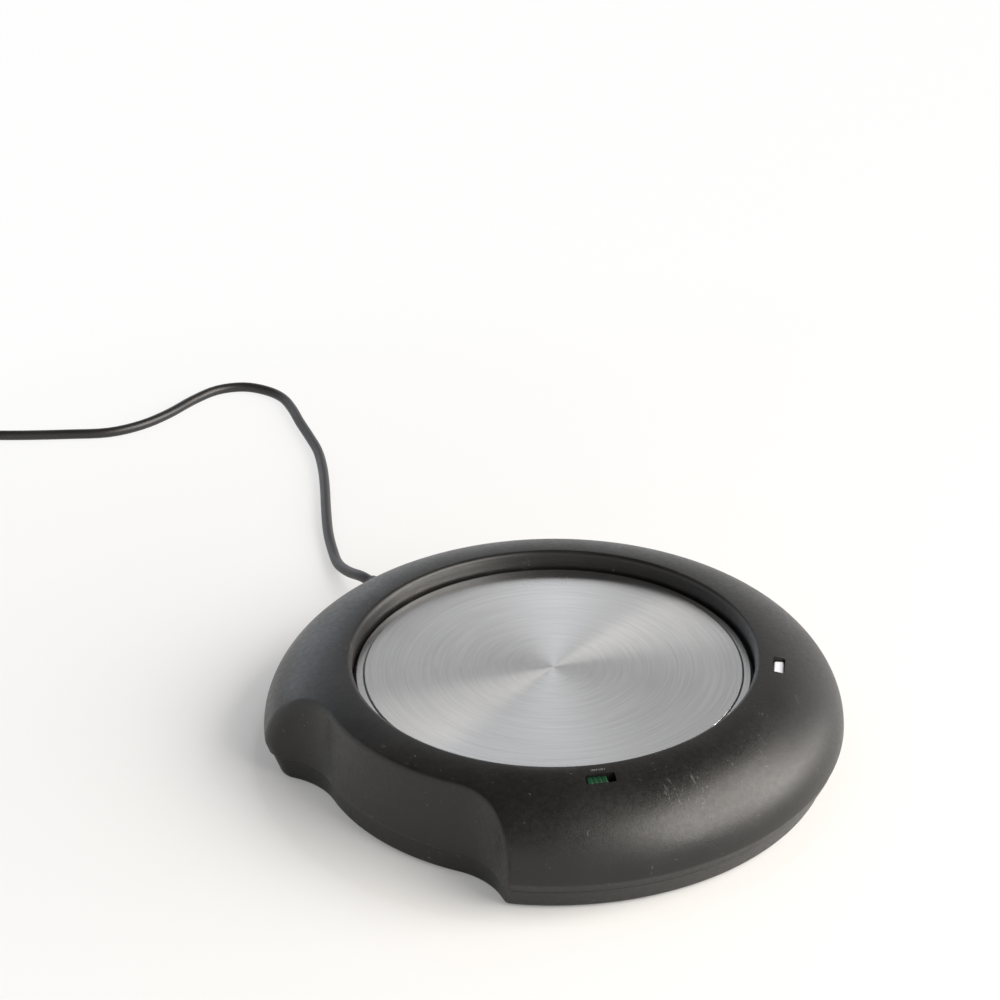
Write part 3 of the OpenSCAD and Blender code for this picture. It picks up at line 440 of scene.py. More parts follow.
def grip_sections():
    """The plug grip's sections: distance from the tail's end, half width, half height and squareness."""
    tail_r0, tail_r1, tail_edge, tail_power = 1.6, 2.8, 0.3, 2
    ribs, first_rib, rib_pitch, rib_proud = 4, 1.4, 1.9, 0.35
    rib = ((0, -0.4), (0.12, -0.05), (0.25, 0), (0.95, 0), (1.08, -0.05), (1.2, -0.4))
    neck, neck_power = 0.6, 2.1
    shoulder = ((0, 0.46), (0.25, 0.66), (0.7, 0.82), (1.4, 0.92), (2.4, 0.975), (3.6, 1.0))
    shoulder_power, power_gain, shoulder_rise = 2.4, 2.6, 0.02
    grip_power = 5
    grooves, first_groove, groove_pitch, groove_on_top = 5, 6.0, 1.9, 0.8
    groove = ((0, 0), (0.2, 0.1), (0.4, 0.35), (0.7, 0.35), (0.9, 0.1), (1.1, 0))
    front_edge = ((2.4, 0), (0.9, 0), (0.45, 0.1), (0.15, 0.35), (0, 0.8))
    half_w, half_h = GRIP_W / 2, GRIP_H / 2

    tail_end = tail_r0 - tail_edge
    sections = [(0, tail_end, tail_end, tail_power), (tail_edge, tail_r0, tail_r0, tail_power)]
    for i in range(ribs):
        r = tail_r0 + rib_proud + (tail_r1 - tail_r0) * i / ribs
        x = first_rib + i * rib_pitch
        for dx, dr in rib:
            sections.append((x + dx, r + dr, r + dr, tail_power))
    sections.append((PLUG_TAIL - neck, tail_r1, tail_r1, neck_power))
    for dx, share in shoulder:
        power = shoulder_power + power_gain * dx / shoulder[-1][0]
        sections.append((PLUG_TAIL + dx, half_w * share, half_h * min(1, share + shoulder_rise), power))
    for i in range(grooves):
        x = PLUG_TAIL + first_groove + i * groove_pitch
        for dx, dr in groove:
            sections.append((x + dx, half_w - dr, half_h - dr * groove_on_top, grip_power))
    front = PLUG_TAIL + GRIP_L
    for dx, dr in front_edge:
        sections.append((front - dx, half_w - dr, half_h - dr, grip_power))
    return sections


def make_grip():
    """The plug's grip, with the ribs of its tail and the grooves of its sides."""
    points, faces = loft([
        [(PLUG_X + x, PLUG_Y - along, PLUG_Z + z) for x, z in super_ellipse(half_w, half_h, power)]
        for along, half_w, half_h, power in grip_sections()
    ])
    grip = mesh_piece("plug_grip_moulding", points, faces)
    sharpen(grip.data, 40)
    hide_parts("usb_plug_grip")
    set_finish(grip, "plug_plastic")
    return grip


tie = make_tie()
grip = make_grip()


# ---- The ring ----

def dome_z(r, inset=0.0):
    """Height of the dome at a radius, moved inwards by inset."""
    a, b = RING_R - CREST_R - inset, CREST_H - BELLY_H - inset
    share = np.clip((r - CREST_R) / a, 0, 1)
    return BELLY_H + b * (1 - share**DOME_POWER) ** (1 / DOME_POWER)


def dome_arc(t, inset=0.0):
    """Points of the dome, where t goes from 0 at the belly to 90 at the crest."""
    e = 2 / DOME_POWER
    t = np.radians(t)
    r = CREST_R + (RING_R - CREST_R - inset) * np.cos(t) ** e
    z = BELLY_H + (CREST_H - BELLY_H - inset) * np.sin(t) ** e
    return r, z


def lower_r(z):
    """The ring's outline below its widest line: a bend, and then a side that leans in."""
    lean = math.radians(SIDE_LEAN)
    drop = BELLY_H - z
    bend = BELLY_ROUND * math.sin(lean)
    on_bend = np.sqrt(np.maximum(BELLY_ROUND**2 - np.clip(drop, 0, bend) ** 2, 0))
    return RING_R - BELLY_ROUND + on_bend - np.maximum(drop - bend, 0) * math.tan(lean)


def dome_distance(r, z):
    """Distance to the ring's outside without the scoop, below zero inside."""
    deepest, least_slope = -12, 1e-6
    u = np.maximum(r - CREST_R, 0) / (RING_R - CREST_R)
    v = np.maximum(z - BELLY_H, 0) / (CREST_H - BELLY_H)
    value = u**DOME_POWER + v**DOME_POWER - 1
    slope = DOME_POWER * np.hypot(
        u ** (DOME_POWER - 1) / (RING_R - CREST_R), v ** (DOME_POWER - 1) / (CREST_H - BELLY_H)
    )
    over = np.maximum(value / np.maximum(slope, least_slope), deepest)
    return np.where(z < BELLY_H, r - lower_r(z), over)


def scoop_corner():
    """The middle of the bend into the scoop's end wall, off and along that wall, and both directions."""
    end = math.radians(SCOOP_HALF + SCOOP_FLARE)
    normal = np.array([math.sin(end), -math.cos(end)])
    ahead = np.array([math.cos(end), math.sin(end)])
    off = RING_R * math.sin(math.radians(SCOOP_FLARE)) + SCOOP_BLEND
    along = math.sqrt((SCOOP_R + SCOOP_BLEND) ** 2 - off**2)
    return off, along, normal, ahead


def scoop_distance(plan):
    """Distance past the scoop's wall in plan, above zero in the scoop."""
    off, mid_along, normal, ahead = scoop_corner()
    mid = off * normal + mid_along * ahead
    turn = math.radians(SCOOP_ANGLE)
    x = plan[:, 0] * math.cos(turn) + plan[:, 1] * math.sin(turn)
    y = np.abs(plan[:, 1] * math.cos(turn) - plan[:, 0] * math.sin(turn))
    place = np.column_stack([x, y])
    wall = np.hypot(x, y) - SCOOP_R
    bend = SCOOP_BLEND - np.hypot(*(place - mid).T)
    straight = place @ normal - (off - SCOOP_BLEND)
    on_end = np.where(place @ ahead > mid_along, straight, bend)
    return np.where(np.arctan2(y, x) > math.atan2(mid[1], mid[0]), on_end, wall)


def edge_round(angles):
    """The rounding of the scoop's edge: largest at the left end, smallest at the right end."""
    at_left, between, at_right = 1.7, 0.7, 0.6
    left_span, right_from, right_span = 12, 10, 8
    from_mid = (angles - SCOOP_ANGLE + 180) % 360 - 180
    left = smoothstep((from_mid + SCOOP_HALF) / left_span)
    right = smoothstep((from_mid - SCOOP_HALF + right_from) / right_span)
    return at_left + (between - at_left) * left + (at_right - between) * right


def rounded_cut(a, b, k):
    """Distance to the solid that lies within both distances, with a rounding of k where they meet."""
    a, b = a + k, b + k
    return np.minimum(np.maximum(a, b), 0) + np.hypot(np.maximum(a, 0), np.maximum(b, 0)) - k


def ring_field(points):
    """Distance to the ring's outside, below zero in the plastic, with the scoop's edge rounded."""
    r = np.hypot(points[:, 0], points[:, 1])
    angles = np.degrees(np.arctan2(points[:, 1], points[:, 0]))
    mid_z = (PARTING_H + CREST_H) / 2
    wall = scoop_distance(points[:, :2]) + (points[:, 2] - mid_z) * SCOOP_DRAFT
    return rounded_cut(dome_distance(r, points[:, 2]), wall, edge_round(angles))


def base_side(z):
    """Radius of the base's leaning side at a height."""
    return BASE_R - np.maximum(BASE_TOP - z, 0) * math.tan(math.radians(SIDE_LEAN))


def base_field(points):
    """Distance to the base's side in plan, below zero in the plastic, with its corners rounded."""
    angles = np.degrees(np.arctan2(points[:, 1], points[:, 0]))
    side = np.hypot(points[:, 0], points[:, 1]) - base_side(points[:, 2])
    return rounded_cut(side, scoop_distance(points[:, :2]) + BASE_STEP, edge_round(angles))


def field_slope(field, points, step=0.01):
    """How the field changes along X, Y and Z at each point."""
    return np.column_stack([
        (field(points + axis) - field(points - axis)) / (2 * step) for axis in np.eye(3) * step
    ])


def settle(field, points, rounds=8):
    """Moves points onto the surface that the field gives."""
    least_slope = 0.05
    for _ in range(rounds):
        slope = field_slope(field, points)
        size = np.maximum((slope**2).sum(1), least_slope)
        points = points - slope * (field(points) / size)[:, None]
    return points


def outwards(field, row):
    """The direction in plan that leads out of the plastic, at each point of a row."""
    slope = field_slope(field, row)[:, :2]
    return slope / np.maximum(np.hypot(*slope.T), 1e-6)[:, None]


def wall_radius(angles):
    """Radius at which a ray from the ring's centre meets the scoop's wall, large where it doesn't."""
    inmost, outmost, halvings, out_of_reach = 40.0, 60.0, 30, 99.0
    turns = np.radians(angles)
    rays = np.column_stack([np.cos(turns), np.sin(turns)])
    near, far = np.full(len(angles), inmost), np.full(len(angles), outmost)
    for _ in range(halvings):
        middle = (near + far) / 2
        past = scoop_distance(rays * middle[:, None]) > 0
        near, far = np.where(past, near, middle), np.where(past, middle, far)
    return np.where(near > outmost - 0.1, out_of_reach, near)


def ring_angles():
    """Directions of the ring's sections, close together round the scoop's ends."""
    finest, finer, coarse = 0.25, 0.5, 1.0
    finest_within, finer_within = 7, 14
    ends = [SCOOP_ANGLE - SCOOP_HALF, SCOOP_ANGLE + SCOOP_HALF]
    angles, angle = [], 0.0
    while angle < 360:
        angles.append(angle)
        from_end = min(abs(angle - end) for end in ends)
        if from_end < finest_within:
            angle += finest
        elif from_end < finer_within or ends[0] < angle < ends[1]:
            angle += finer
        else:
            angle += coarse
    return np.array(angles)


def ring_section(wall_r, inset=0.0):
    """Rows from the crest down to the parting line, as (r, z) arrays, cut by the scoop's wall.

    Rows lie closer together towards the edge between the dome and the scoop's wall.
    """
    dome_rows, dome_crowding = 30, 1.8
    wall_rows, wall_crowding = 24, 1.5
    cut_r = np.minimum(wall_r - inset, RING_R - inset)
    share = np.clip((cut_r - CREST_R) / (RING_R - CREST_R - inset), 0, 1)
    t_edge = np.degrees(np.arccos(np.clip(share ** (DOME_POWER / 2), 0, 1)))
    rows = []
    for share in np.linspace(1, 0, dome_rows) ** dome_crowding:
        rows.append(dome_arc(t_edge + (90 - t_edge) * share, inset))
    edge_z = rows[-1][1]
    foot = PARTING_H + (0 if inset else PARTING_ROUND)
    for share in np.linspace(0, 1, wall_rows + 1)[1:] ** wall_crowding:
        z = edge_z + (foot - edge_z) * share
        rows.append((np.minimum(cut_r, np.where(z < BELLY_H, lower_r(z) - inset, cut_r)), z))
    return rows


def rounded_foot(row, steps=4):
    """Rows from the lowest row of the outside round the edge at the parting line."""
    out = outwards(ring_field, row)
    rows = []
    for i in range(1, steps + 1):
        t = math.radians(90 * i / steps)
        step = row.copy()
        step[:, :2] -= out * PARTING_ROUND * (1 - math.cos(t))
        step[:, 2] = PARTING_H + PARTING_ROUND * (1 - math.sin(t))
        rows.append(step)
    return rows


def ring_shell():
    """The ring without bosses and windows, in rows from the ledge over the dome and back underneath."""
    corner, lip_mid_h, lap, least_room = 0.25, 18.5, 0.2, 1
    angles = ring_angles()
    wall_r = wall_radius(angles)
    turns = np.radians(angles)
    inner = [
        (LEDGE_R + corner, LEDGE_TOP),
        (LIP_R - corner, LEDGE_TOP),
        (LIP_R, LEDGE_TOP + corner),
        (LIP_R, lip_mid_h),
        *arc(LIP_R + LIP_ROUND, CREST_H - LIP_ROUND, LIP_ROUND, 180, 94, 9),
    ]
    well_r = LIP_R + WALL
    inside = [(r, z) for r, z in reversed(ring_section(wall_r, WALL)) if r.max() > well_r + least_room]
    under = [
        (well_r, float(dome_z(well_r, WALL)) - lap),
        (well_r, LEDGE_UNDER),
        (LEDGE_R, LEDGE_UNDER),
        (LEDGE_R, LEDGE_TOP - corner),
    ]

    def placed(rows):
        return [around(r, turns, z) for r, z in rows]

    outside = np.array(placed(ring_section(wall_r)[1:]))
    outside = settle(ring_field, outside.reshape(-1, 3)).reshape(outside.shape)
    outside[-1, :, 2] = PARTING_H + PARTING_ROUND
    rows = [*placed(inner), *outside, *rounded_foot(outside[-1]), *placed(inside), *placed(under)]
    return mesh_piece("ring_moulding", np.vstack(rows), grid_faces(len(rows), len(angles)))


def ring_bosses():
    """The bosses that hang from the ledge or the dome, and the holes in them."""
    lap, cut = 0.5, 0.1
    posts, holes = [], []
    for angles, r, diameter, foot, (hole_d, hole_foot, depth) in (CASE_BOSSES, BOARD_BOSSES, EAR_BOSSES):
        under_dome = float(dome_z(r + diameter / 2)) - BOSS_COVER
        top = LEDGE_UNDER + lap if r < LIP_R else under_dome
        for angle in angles:
            post = [(diameter / 2, foot), (diameter / 2, top)]
            hole = [(hole_d / 2, hole_foot - cut), (hole_d / 2, hole_foot + depth)]
            posts.append(tool("post", angle, r, lathe(post, 32)))
            holes.append(tool("hole", angle, r, lathe(hole, 32)))
    return posts, holes


def neck_hole():
    """The round hole for the strain relief, half in the ring and half in the base."""
    from_r, length = 46, 12
    points, faces = lathe([(NECK_HOLE_D / 2, 0), (NECK_HOLE_D / 2, length)], 40)
    lying = np.column_stack([points[:, 2], points[:, 1], -points[:, 0]]) + (0, 0, PARTING_H)
    return tool("neck_hole", EXIT_ANGLE, from_r, (lying, faces))


def window(name, angle, size):
    """A slot through the dome."""
    return tool(name, angle, WINDOW_R, stack(*((*size, WINDOW_CORNER, z) for z in WINDOW_CUT)))


def make_ring():
    ring = ring_shell()
    posts, holes = ring_bosses()
    combine(ring, "UNION", posts)
    combine(ring, "DIFFERENCE", [
        *holes,
        neck_hole(),
        window("switch_window", SWITCH_ANGLE, SWITCH_WINDOW),
        window("led_window", LED_ANGLE, LED_WINDOW),
    ])
    even_normals(ring, 40)
    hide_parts("top_cover")
    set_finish(ring, "case_plastic")


make_ring()


# ---- The base ----

def base_row(z, inset=0.0):
    """The base's outline at a height, moved inwards by inset."""
    angles = ring_angles()
    r = np.minimum(base_side(z), wall_radius(angles) - BASE_STEP)
    row = settle(base_field, around(r, np.radians(angles), z))
    row[:, 2] = z
    row[:, :2] -= outwards(base_field, row) * inset
    return row


def bare_copy(name, node):
    """A closed copy of a CAD node's mesh."""
    same_place = 1e-7
    mesh = NODES[node].data.copy()
    shape = bmesh.new()
    shape.from_mesh(mesh)
    bmesh.ops.remove_doubles(shape, verts=shape.verts, dist=same_place)
    shape.to_mesh(mesh)
    shape.free()
    return new_object(name, mesh)


def make_base():
    """A side with rounded edges, joined to the floor, tongue, bosses and recesses of the CAD model."""
    foot_round, top_round, thick = 0.5, 0.3, 1.2
    side_from, side_to, side_rows = 1.6, 4.0, 4
    core_inset, core_top = 0.7, 12
    levels = [
        *arc(BASE_FOOT + foot_round, foot_round, foot_round, 180, 270, 6),
        *((z, 0) for z in np.linspace(side_from, side_to, side_rows)),
        *arc(BASE_TOP - top_round, top_round, top_round, -90, 0, 6),
        (BASE_TOP, thick),
        (BASE_FOOT, thick),
    ]
    rows = [base_row(z, inset) for z, inset in levels]
    side = tool("side", 0, 0, (np.vstack(rows), grid_faces(len(rows), len(rows[0]), flip=True)))
    core = []
    for z, height in ((BASE_FOOT, -1), (BASE_TOP, BASE_TOP), (BASE_TOP, core_top)):
        row = base_row(z, core_inset)
        row[:, 2] = height
        core.append(row)
    base = bare_copy("base_moulding", "base_cover")
    combine(base, "INTERSECT", [tool("core", 0, 0, loft(core))])
    combine(base, "UNION", [side])
    combine(base, "DIFFERENCE", [neck_hole()])
    even_normals(base)
    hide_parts("base_cover")
    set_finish(base, "case_plastic")


make_base()


# ---- The hot plate ----

def make_plate():
    """Pressed sheet with a lower rim, softly bent, and a rounded edge."""
    edge, chamfer, middle_r, sheet_in = 0.2, 0.1, 0.3, 0.2
    rim_top, under = PLATE_TOP - PLATE_STEP, PLATE_TOP - PLATE_T
    rim_under = rim_top - PLATE_T
    bend_from, bend_to = PLATE_R - PLATE_RIM - 0.45, PLATE_R - PLATE_RIM + 0.05
    bend = [
        (bend_to + (bend_from - bend_to) * t, rim_top + PLATE_STEP * float(smoothstep(t)))
        for t in np.linspace(0, 1, 9)
    ]
    profile = [
        *((r, under) for r in (middle_r, 12.0, 24.0, bend_from - sheet_in)),
        (bend_to - sheet_in, rim_under),
        (PLATE_R - chamfer, rim_under),
        (PLATE_R, rim_under + chamfer),
        *arc(PLATE_R - edge, rim_top - edge, edge, 0, 90, 6),
        *bend,
        *((r, PLATE_TOP) for r in np.linspace(bend_from, 0, 14)[1:-1]),
        (middle_r, PLATE_TOP),
    ]
    points, faces = lathe(profile)
    plate = mesh_piece("pressed_plate", points, faces)
    even_normals(plate, 40)
    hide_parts("hot_plate")
    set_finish(plate, "plate_steel")


make_plate()


# ---- The button, the indicator and the marks ----

def button_section(shrink):
    """The button's length and height, with soft ridges across its face, moved inwards by shrink."""
    corner, lap = 0.35, 0.3
    pitch, deep, groove_half, bare_end = 0.8, 0.09, 0.14, 0.2
    half = BUTTON_L / 2
    top, foot = float(dome_z(WINDOW_R)) - BUTTON_SINK, CARRIAGE_Z[1] - lap
    face = []
    for y in np.linspace(corner - half, half - corner, 61):
        near = (y + pitch * 1.5) % pitch - pitch / 2
        groove = math.exp(-((near / groove_half) ** 2)) if abs(y) < half - corner - bare_end else 0
        face.append((y, top - deep * groove))
    points = np.array([
        (half, foot),
        *arc(half - corner, top - corner, corner, 0, 80, 8),
        *face[::-1],
        *arc(corner - half, top - corner, corner, 100, 180, 8),
        (-half, foot),
    ])
    points[:, 0] = np.clip(points[:, 0], shrink - half, half - shrink)
    points[1:-1, 1] -= shrink
    return points


def make_button():
    """The button with soft edges, on the plain carriage under it."""
    edge, bevel, corner = 0.16, 0.1, 0.3
    outlines = []
    for side, turns in ((-1, (0, 30, 60, 90)), (1, (90, 60, 30, 0))):
        for t in np.radians(turns):
            y, z = button_section(edge * (1 - math.sin(t))).T
            x = side * (BUTTON_W / 2 - edge * (1 - math.cos(t)))
            outlines.append(np.column_stack([np.full(len(y), x), y + BUTTON_MID, z]))
    knob, knob_faces = loft(outlines)
    button = mesh_piece("sliding_button", on_radius(knob, SWITCH_ANGLE), knob_faces, "button")
    low, high = CARRIAGE_Z
    size = np.array([CARRIAGE_W, CARRIAGE_L])
    carriage = stack(
        (*(size - 2 * bevel), corner - bevel, low),
        (*size, corner, low + bevel),
        (*size, corner, high - bevel),
        (*(size - 2 * bevel), corner - bevel, high),
        mid_y=BUTTON_MID,
    )
    combine(button, "UNION", [tool("carriage", SWITCH_ANGLE, WINDOW_R, carriage)])
    even_normals(button)
    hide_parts("switch_button")
    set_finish(button, "button_plastic")


def make_lens():
    """The indicator's lens, with a domed face and a flange under the window."""
    edge, corner = 0.35, 0.45
    flange_t, flange_corner, bevel = 1.0, 0.3, 0.05
    size = np.array(LED_SIZE)
    flange, top = size + 2 * LED_FLANGE, float(dome_z(WINDOW_R)) - LED_DEPTH
    levels = [
        (*(flange - 2 * bevel), flange_corner - bevel, BOARD_TOP),
        (*flange, flange_corner, BOARD_TOP + bevel),
        (*flange, flange_corner, BOARD_TOP + (flange_t - bevel)),
        (*(flange - 2 * bevel), flange_corner - bevel, BOARD_TOP + flange_t),
        (*size, corner, BOARD_TOP + flange_t),
    ]
    for t in np.radians(np.linspace(0, 90, 6)):
        shrink = 2 * edge * (1 - math.cos(t))
        levels.append((*(size - shrink), corner - shrink / 4, top - edge + edge * math.sin(t)))
    points, faces = stack(*levels)
    lens = mesh_piece("indicator_lens", on_radius(points, LED_ANGLE), faces)
    even_normals(lens, 50)
    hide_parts("indicator_led")
    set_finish(lens, "led_plastic")


def make_mark(name, word, shift):
    """A printed word on the dome beside the switch, whose up points towards the well."""
    text = bpy.data.curves.new(name, "FONT")
    text.body = word
    text.size = MARK_SIZE
    text.align_x = "CENTER"
    text.extrude = MARK_THICK / 2
    text.resolution_u = 4
    flat = mesh_of(name, text)
    points = []
    for vertex in flat.vertices:
        along, up, lift = vertex.co
        r = MARK_R - up
        height = float(dome_z(r)) + MARK_LIFT + MARK_THICK / 2 + lift
        points.append(polar(r, SWITCH_ANGLE + math.degrees((shift + along) / r), height))
    mark = mesh_piece(name, points, [tuple(face.vertices) for face in flat.polygons])
    mark.data.shade_flat()
    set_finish(mark, "led_plastic")
    return mark


make_button()
make_lens()
MARKS = [make_mark("mark_off", "OFF", MARK_OFF_SHIFT), make_mark("mark_on", "ON", MARK_ON_SHIFT)]


# ---- Materials ----

class Nodes:
    """A node tree, with short ways to add to it."""

    def __init__(self, tree):
        self.tree = tree
        self.coordinates = self.add("ShaderNodeTexCoord").outputs

    def put(self, socket, value):
        """Links another node's output to an input, or gives the input a value."""
        if isinstance(value, bpy.types.NodeSocket):
            self.tree.links.new(value, socket)
        else:
            socket.default_value = (*value, 1) if socket.type == "RGBA" else value

    def add(self, kind, inputs=None, **settings):
        node = self.tree.nodes.new(kind)
        for key, value in settings.items():
            setattr(node, key, value)
        for key, value in (inputs or {}).items():
            self.put(node.inputs[key], value)
        return node

    def ramp(self, value, low, high, start, end, interpolation="LINEAR"):
        return self.add("ShaderNodeMapRange", {
            "Value": value, "From Min": low, "From Max": high, "To Min": start, "To Max": end,
        }, interpolation_type=interpolation).outputs["Result"]

    def math(self, operation, a, b=0.0):
        return self.add("ShaderNodeMath", {0: a, 1: b}, operation=operation).outputs[0]

    def mix(self, share, a, b, kind="RGBA"):
        inputs = {"Factor": share, "A": a, "B": b}
        return self.add("ShaderNodeMix", inputs, data_type=kind).outputs["Result"]

    def seen_directly(self):
        """1 for what the camera sees, also in a mirror or through glass, and 0 for light on things."""
        rays = self.add("ShaderNodeLightPath").outputs
        seen = self.math("MAXIMUM", rays["Is Camera Ray"], rays["Is Glossy Ray"])
        return self.math("MAXIMUM", seen, rays["Is Transmission Ray"])


class Material(Nodes):
    """A material, with ways to pattern it."""

    def __init__(self, name):
        self.material = bpy.data.materials.new(name)
        self.material.use_nodes = True
        super().__init__(self.material.node_tree)
        self.shader = self.tree.nodes["Principled BSDF"]
        self.place = self.coordinates["Object"]

    def noise(self, size, detail=3.0, rough=0.55, place=None):
        """Noise whose patches are about this many millimetres across."""
        return self.add("ShaderNodeTexNoise", {
            "Vector": place or self.place, "Scale": 1 / (size * MM), "Detail": detail, "Roughness": rough,
        }).outputs["Fac"]

    def distance(self, point):
        """Distance in metres from a point given in millimetres."""
        return self.add("ShaderNodeVectorMath", {
            0: self.place, 1: [c * MM for c in point],
        }, operation="DISTANCE").outputs["Value"]

    def spun(self, squeeze, true_r=0.04):
        """The radius, the way round the Z axis and the height.

        A squeeze of 1 is true to length at true_r metres, and a small one makes streaks that run round.
        """
        xyz = self.add("ShaderNodeSeparateXYZ", {"Vector": self.place})
        x, y = xyz.outputs["X"], xyz.outputs["Y"]
        r = self.math("SQRT", self.math("ADD", self.math("MULTIPLY", x, x), self.math("MULTIPLY", y, y)))
        round_it = self.math("MULTIPLY", self.math("ARCTAN2", y, x), squeeze * true_r)
        return self.add("ShaderNodeCombineXYZ", {
            "X": r, "Y": round_it, "Z": xyz.outputs["Z"],
        }).outputs["Vector"]

    def stretched(self, lengths, degrees):
        """Coordinates that are drawn out along X, Y and Z, and then turned."""
        return self.add("ShaderNodeMapping", {
            "Vector": self.place, "Rotation": (0, 0, math.radians(degrees)), "Scale": lengths,
        }, vector_type="TEXTURE").outputs["Vector"]

    def bump(self, height, depth, normal=None):
        """A bump of this depth in millimetres, on another bump where normal gives one."""
        inputs = {"Height": height, "Distance": depth * MM, "Strength": 1.0}
        if normal:
            inputs["Normal"] = normal
        return self.add("ShaderNodeBump", inputs).outputs["Normal"]

    def set(self, **values):
        """Gives the shader's inputs these values or sockets, and returns the material."""
        for key, value in values.items():
            self.put(self.shader.inputs[key.replace("_", " ")], value)
        return self.material


def grey(value):
    return (value, value, value)


def plastic(name, colour, rough=0.42, grain=0.3, depth=0.012, shine=0.5):
    """Moulded plastic with a fine grain of this size and depth in millimetres."""
    vary = 0.12
    n = Material(name)
    patches = n.noise(9)
    lighter = [min(1, c * (1 + vary)) for c in colour]
    darker = [c * (1 - vary) for c in colour]
    tone = n.mix(n.ramp(patches, 0.35, 0.65, 0, 1), darker, lighter)
    fine = n.noise(grain, 2)
    return n.set(
        Base_Color=tone,
        Roughness=n.ramp(patches, 0.3, 0.7, rough - 0.03, rough + 0.04),
        Specular_IOR_Level=shine,
        Normal=n.bump(fine, depth),
    )


def metal(name, colour, rough=0.28):
    """Bare metal with a fine grain and faint stains."""
    grain, depth, darkest = 0.4, 0.004, 0.92
    n = Material(name)
    fine = n.noise(grain, 3)
    stains = n.noise(6, 4)
    return n.set(
        Base_Color=n.mix(n.ramp(stains, 0.3, 0.7, 0, 1), [c * darkest for c in colour], colour),
        Metallic=1.0,
        Roughness=n.ramp(stains, 0.3, 0.7, rough - 0.04, rough + 0.05),
        Normal=n.bump(fine, depth),
    )


# Where the ring is scuffed most, as a radius, angle and height, between which distances from
# there the scuffs fade out, and how they lie
SCUFFED, SCUFF_FADE, SCUFF_LEAN = (48.4, 299.5, 17.1), (2.5 * MM, 7 * MM), 27
CHARCOAL, WORN = ((0.0062, 0.0054, 0.0050), (0.0094, 0.0082, 0.0076)), (0.16, 0.152, 0.146)


def case_plastic():
    """Charcoal plastic with a spark-eroded grain, pale specks, short scuffs and one scuffed place."""
    n = Material("charcoal_plastic")
    patches = n.noise(14, 4)
    tone = n.mix(n.ramp(patches, 0.35, 0.65, 0, 1), *CHARCOAL)
    specks = n.ramp(n.noise(0.7, 1), 0.78, 0.83, 0, 1)
    round_it = n.noise(0.55, 2, 0.6, n.spun(0.3))
    across = n.noise(0.5, 2, 0.6, n.stretched((1, 3, 3), SCUFF_LEAN))
    dashes = n.ramp(n.math("MAXIMUM", round_it, across), 0.69, 0.77, 0, 1)
    few = n.ramp(n.noise(7, 1), 0.50, 0.60, 0, 1)
    worn = n.math("MAXIMUM", n.math("MULTIPLY", specks, 0.5), n.math("MULTIPLY", dashes, few))
    strokes = n.ramp(n.noise(0.6, 3, 0.6, n.stretched((1, 4, 2), SCUFF_LEAN)), 0.58, 0.70, 0, 1)
    handled = n.ramp(n.distance(polar(*SCUFFED)), *SCUFF_FADE, 1, 0)
    worn = n.math("MAXIMUM", worn, n.math("MULTIPLY", strokes, handled))
    tone = n.mix(n.math("MULTIPLY", worn, 0.5), tone, WORN)
    grain = n.bump(n.noise(0.36, 2), 0.018, normal=n.bump(n.noise(1.5, 2), 0.025))
    mottle = n.math("ADD", patches, n.math("MULTIPLY", n.noise(0.9, 2), 1.2))
    soft = n.ramp(mottle, 0.8, 1.4, 0.34, 0.46)
    return n.set(
        Base_Color=tone,
        Roughness=n.math("ADD", soft, n.math("MULTIPLY", worn, 0.15)),
        Specular_IOR_Level=0.45,
        Normal=grain,
    )


def printed_ink():
    """Thin pale ink, a little uneven and half sunk into the plastic's grain."""
    n = Material("printed_ink")
    cover = n.ramp(n.noise(0.16, 2), 0.35, 0.65, 0, 1)
    return n.set(
        Base_Color=n.mix(cover, (0.11, 0.108, 0.105), (0.24, 0.235, 0.23)),
        Roughness=0.55,
        Normal=n.bump(n.noise(0.30, 2), 0.01),
    )


def plate_steel():
    """Polished sheet with the fine rings of spinning and faint stains."""
    n = Material("polished_plate")
    spun = n.spun(0.016)
    rings = n.noise(0.38, 2, 0.5, spun)
    broad = n.noise(1.8, 2, 0.5, spun)
    stains = n.noise(22, 1)
    wear = n.math("ADD", stains, n.math("MULTIPLY", broad, 0.5))
    return n.set(
        Base_Color=n.mix(n.ramp(rings, 0.3, 0.7, 0, 1), (0.83, 0.83, 0.84), (0.91, 0.91, 0.915)),
        Metallic=1.0,
        Roughness=n.ramp(wear, 0.4, 1.1, 0.22, 0.28),
        Normal=n.bump(rings, 0.0010),
        Anisotropic=0.95,
        Tangent=n.add("ShaderNodeTangent", direction_type="RADIAL", axis="Z").outputs["Tangent"],
    )


def woven(name, colour, size=0.5):
    """Woven or felted cloth with threads of about this many millimetres."""
    depth = 0.12
    n = Material(name)
    threads = n.add("ShaderNodeTexWave", {
        "Vector": n.place, "Scale": 0.3 / (size * MM),
        "Distortion": 3.0, "Detail": 3.0, "Detail Scale": 2.0,
    }).outputs["Fac"]
    fuzz = n.noise(size * 0.6, 4)
    height = n.math("ADD", n.math("MULTIPLY", threads, 0.5), fuzz)
    return n.set(
        Base_Color=n.mix(fuzz, [c * 0.6 for c in colour], [min(1, c * 1.5) for c in colour]),
        Roughness=0.9,
        Sheen_Weight=0.3,
        Normal=n.bump(height, depth),
    )


def board_mask():
    """Solder mask over laminate."""
    n = Material("board_laminate")
    weave = n.noise(0.8, 2)
    return n.set(
        Base_Color=n.mix(weave, (0.01, 0.10, 0.03), (0.02, 0.16, 0.05)),
        Roughness=0.35,
        Coat_Weight=0.4,
        Coat_Roughness=0.15,
        Normal=n.bump(weave, 0.01),
    )


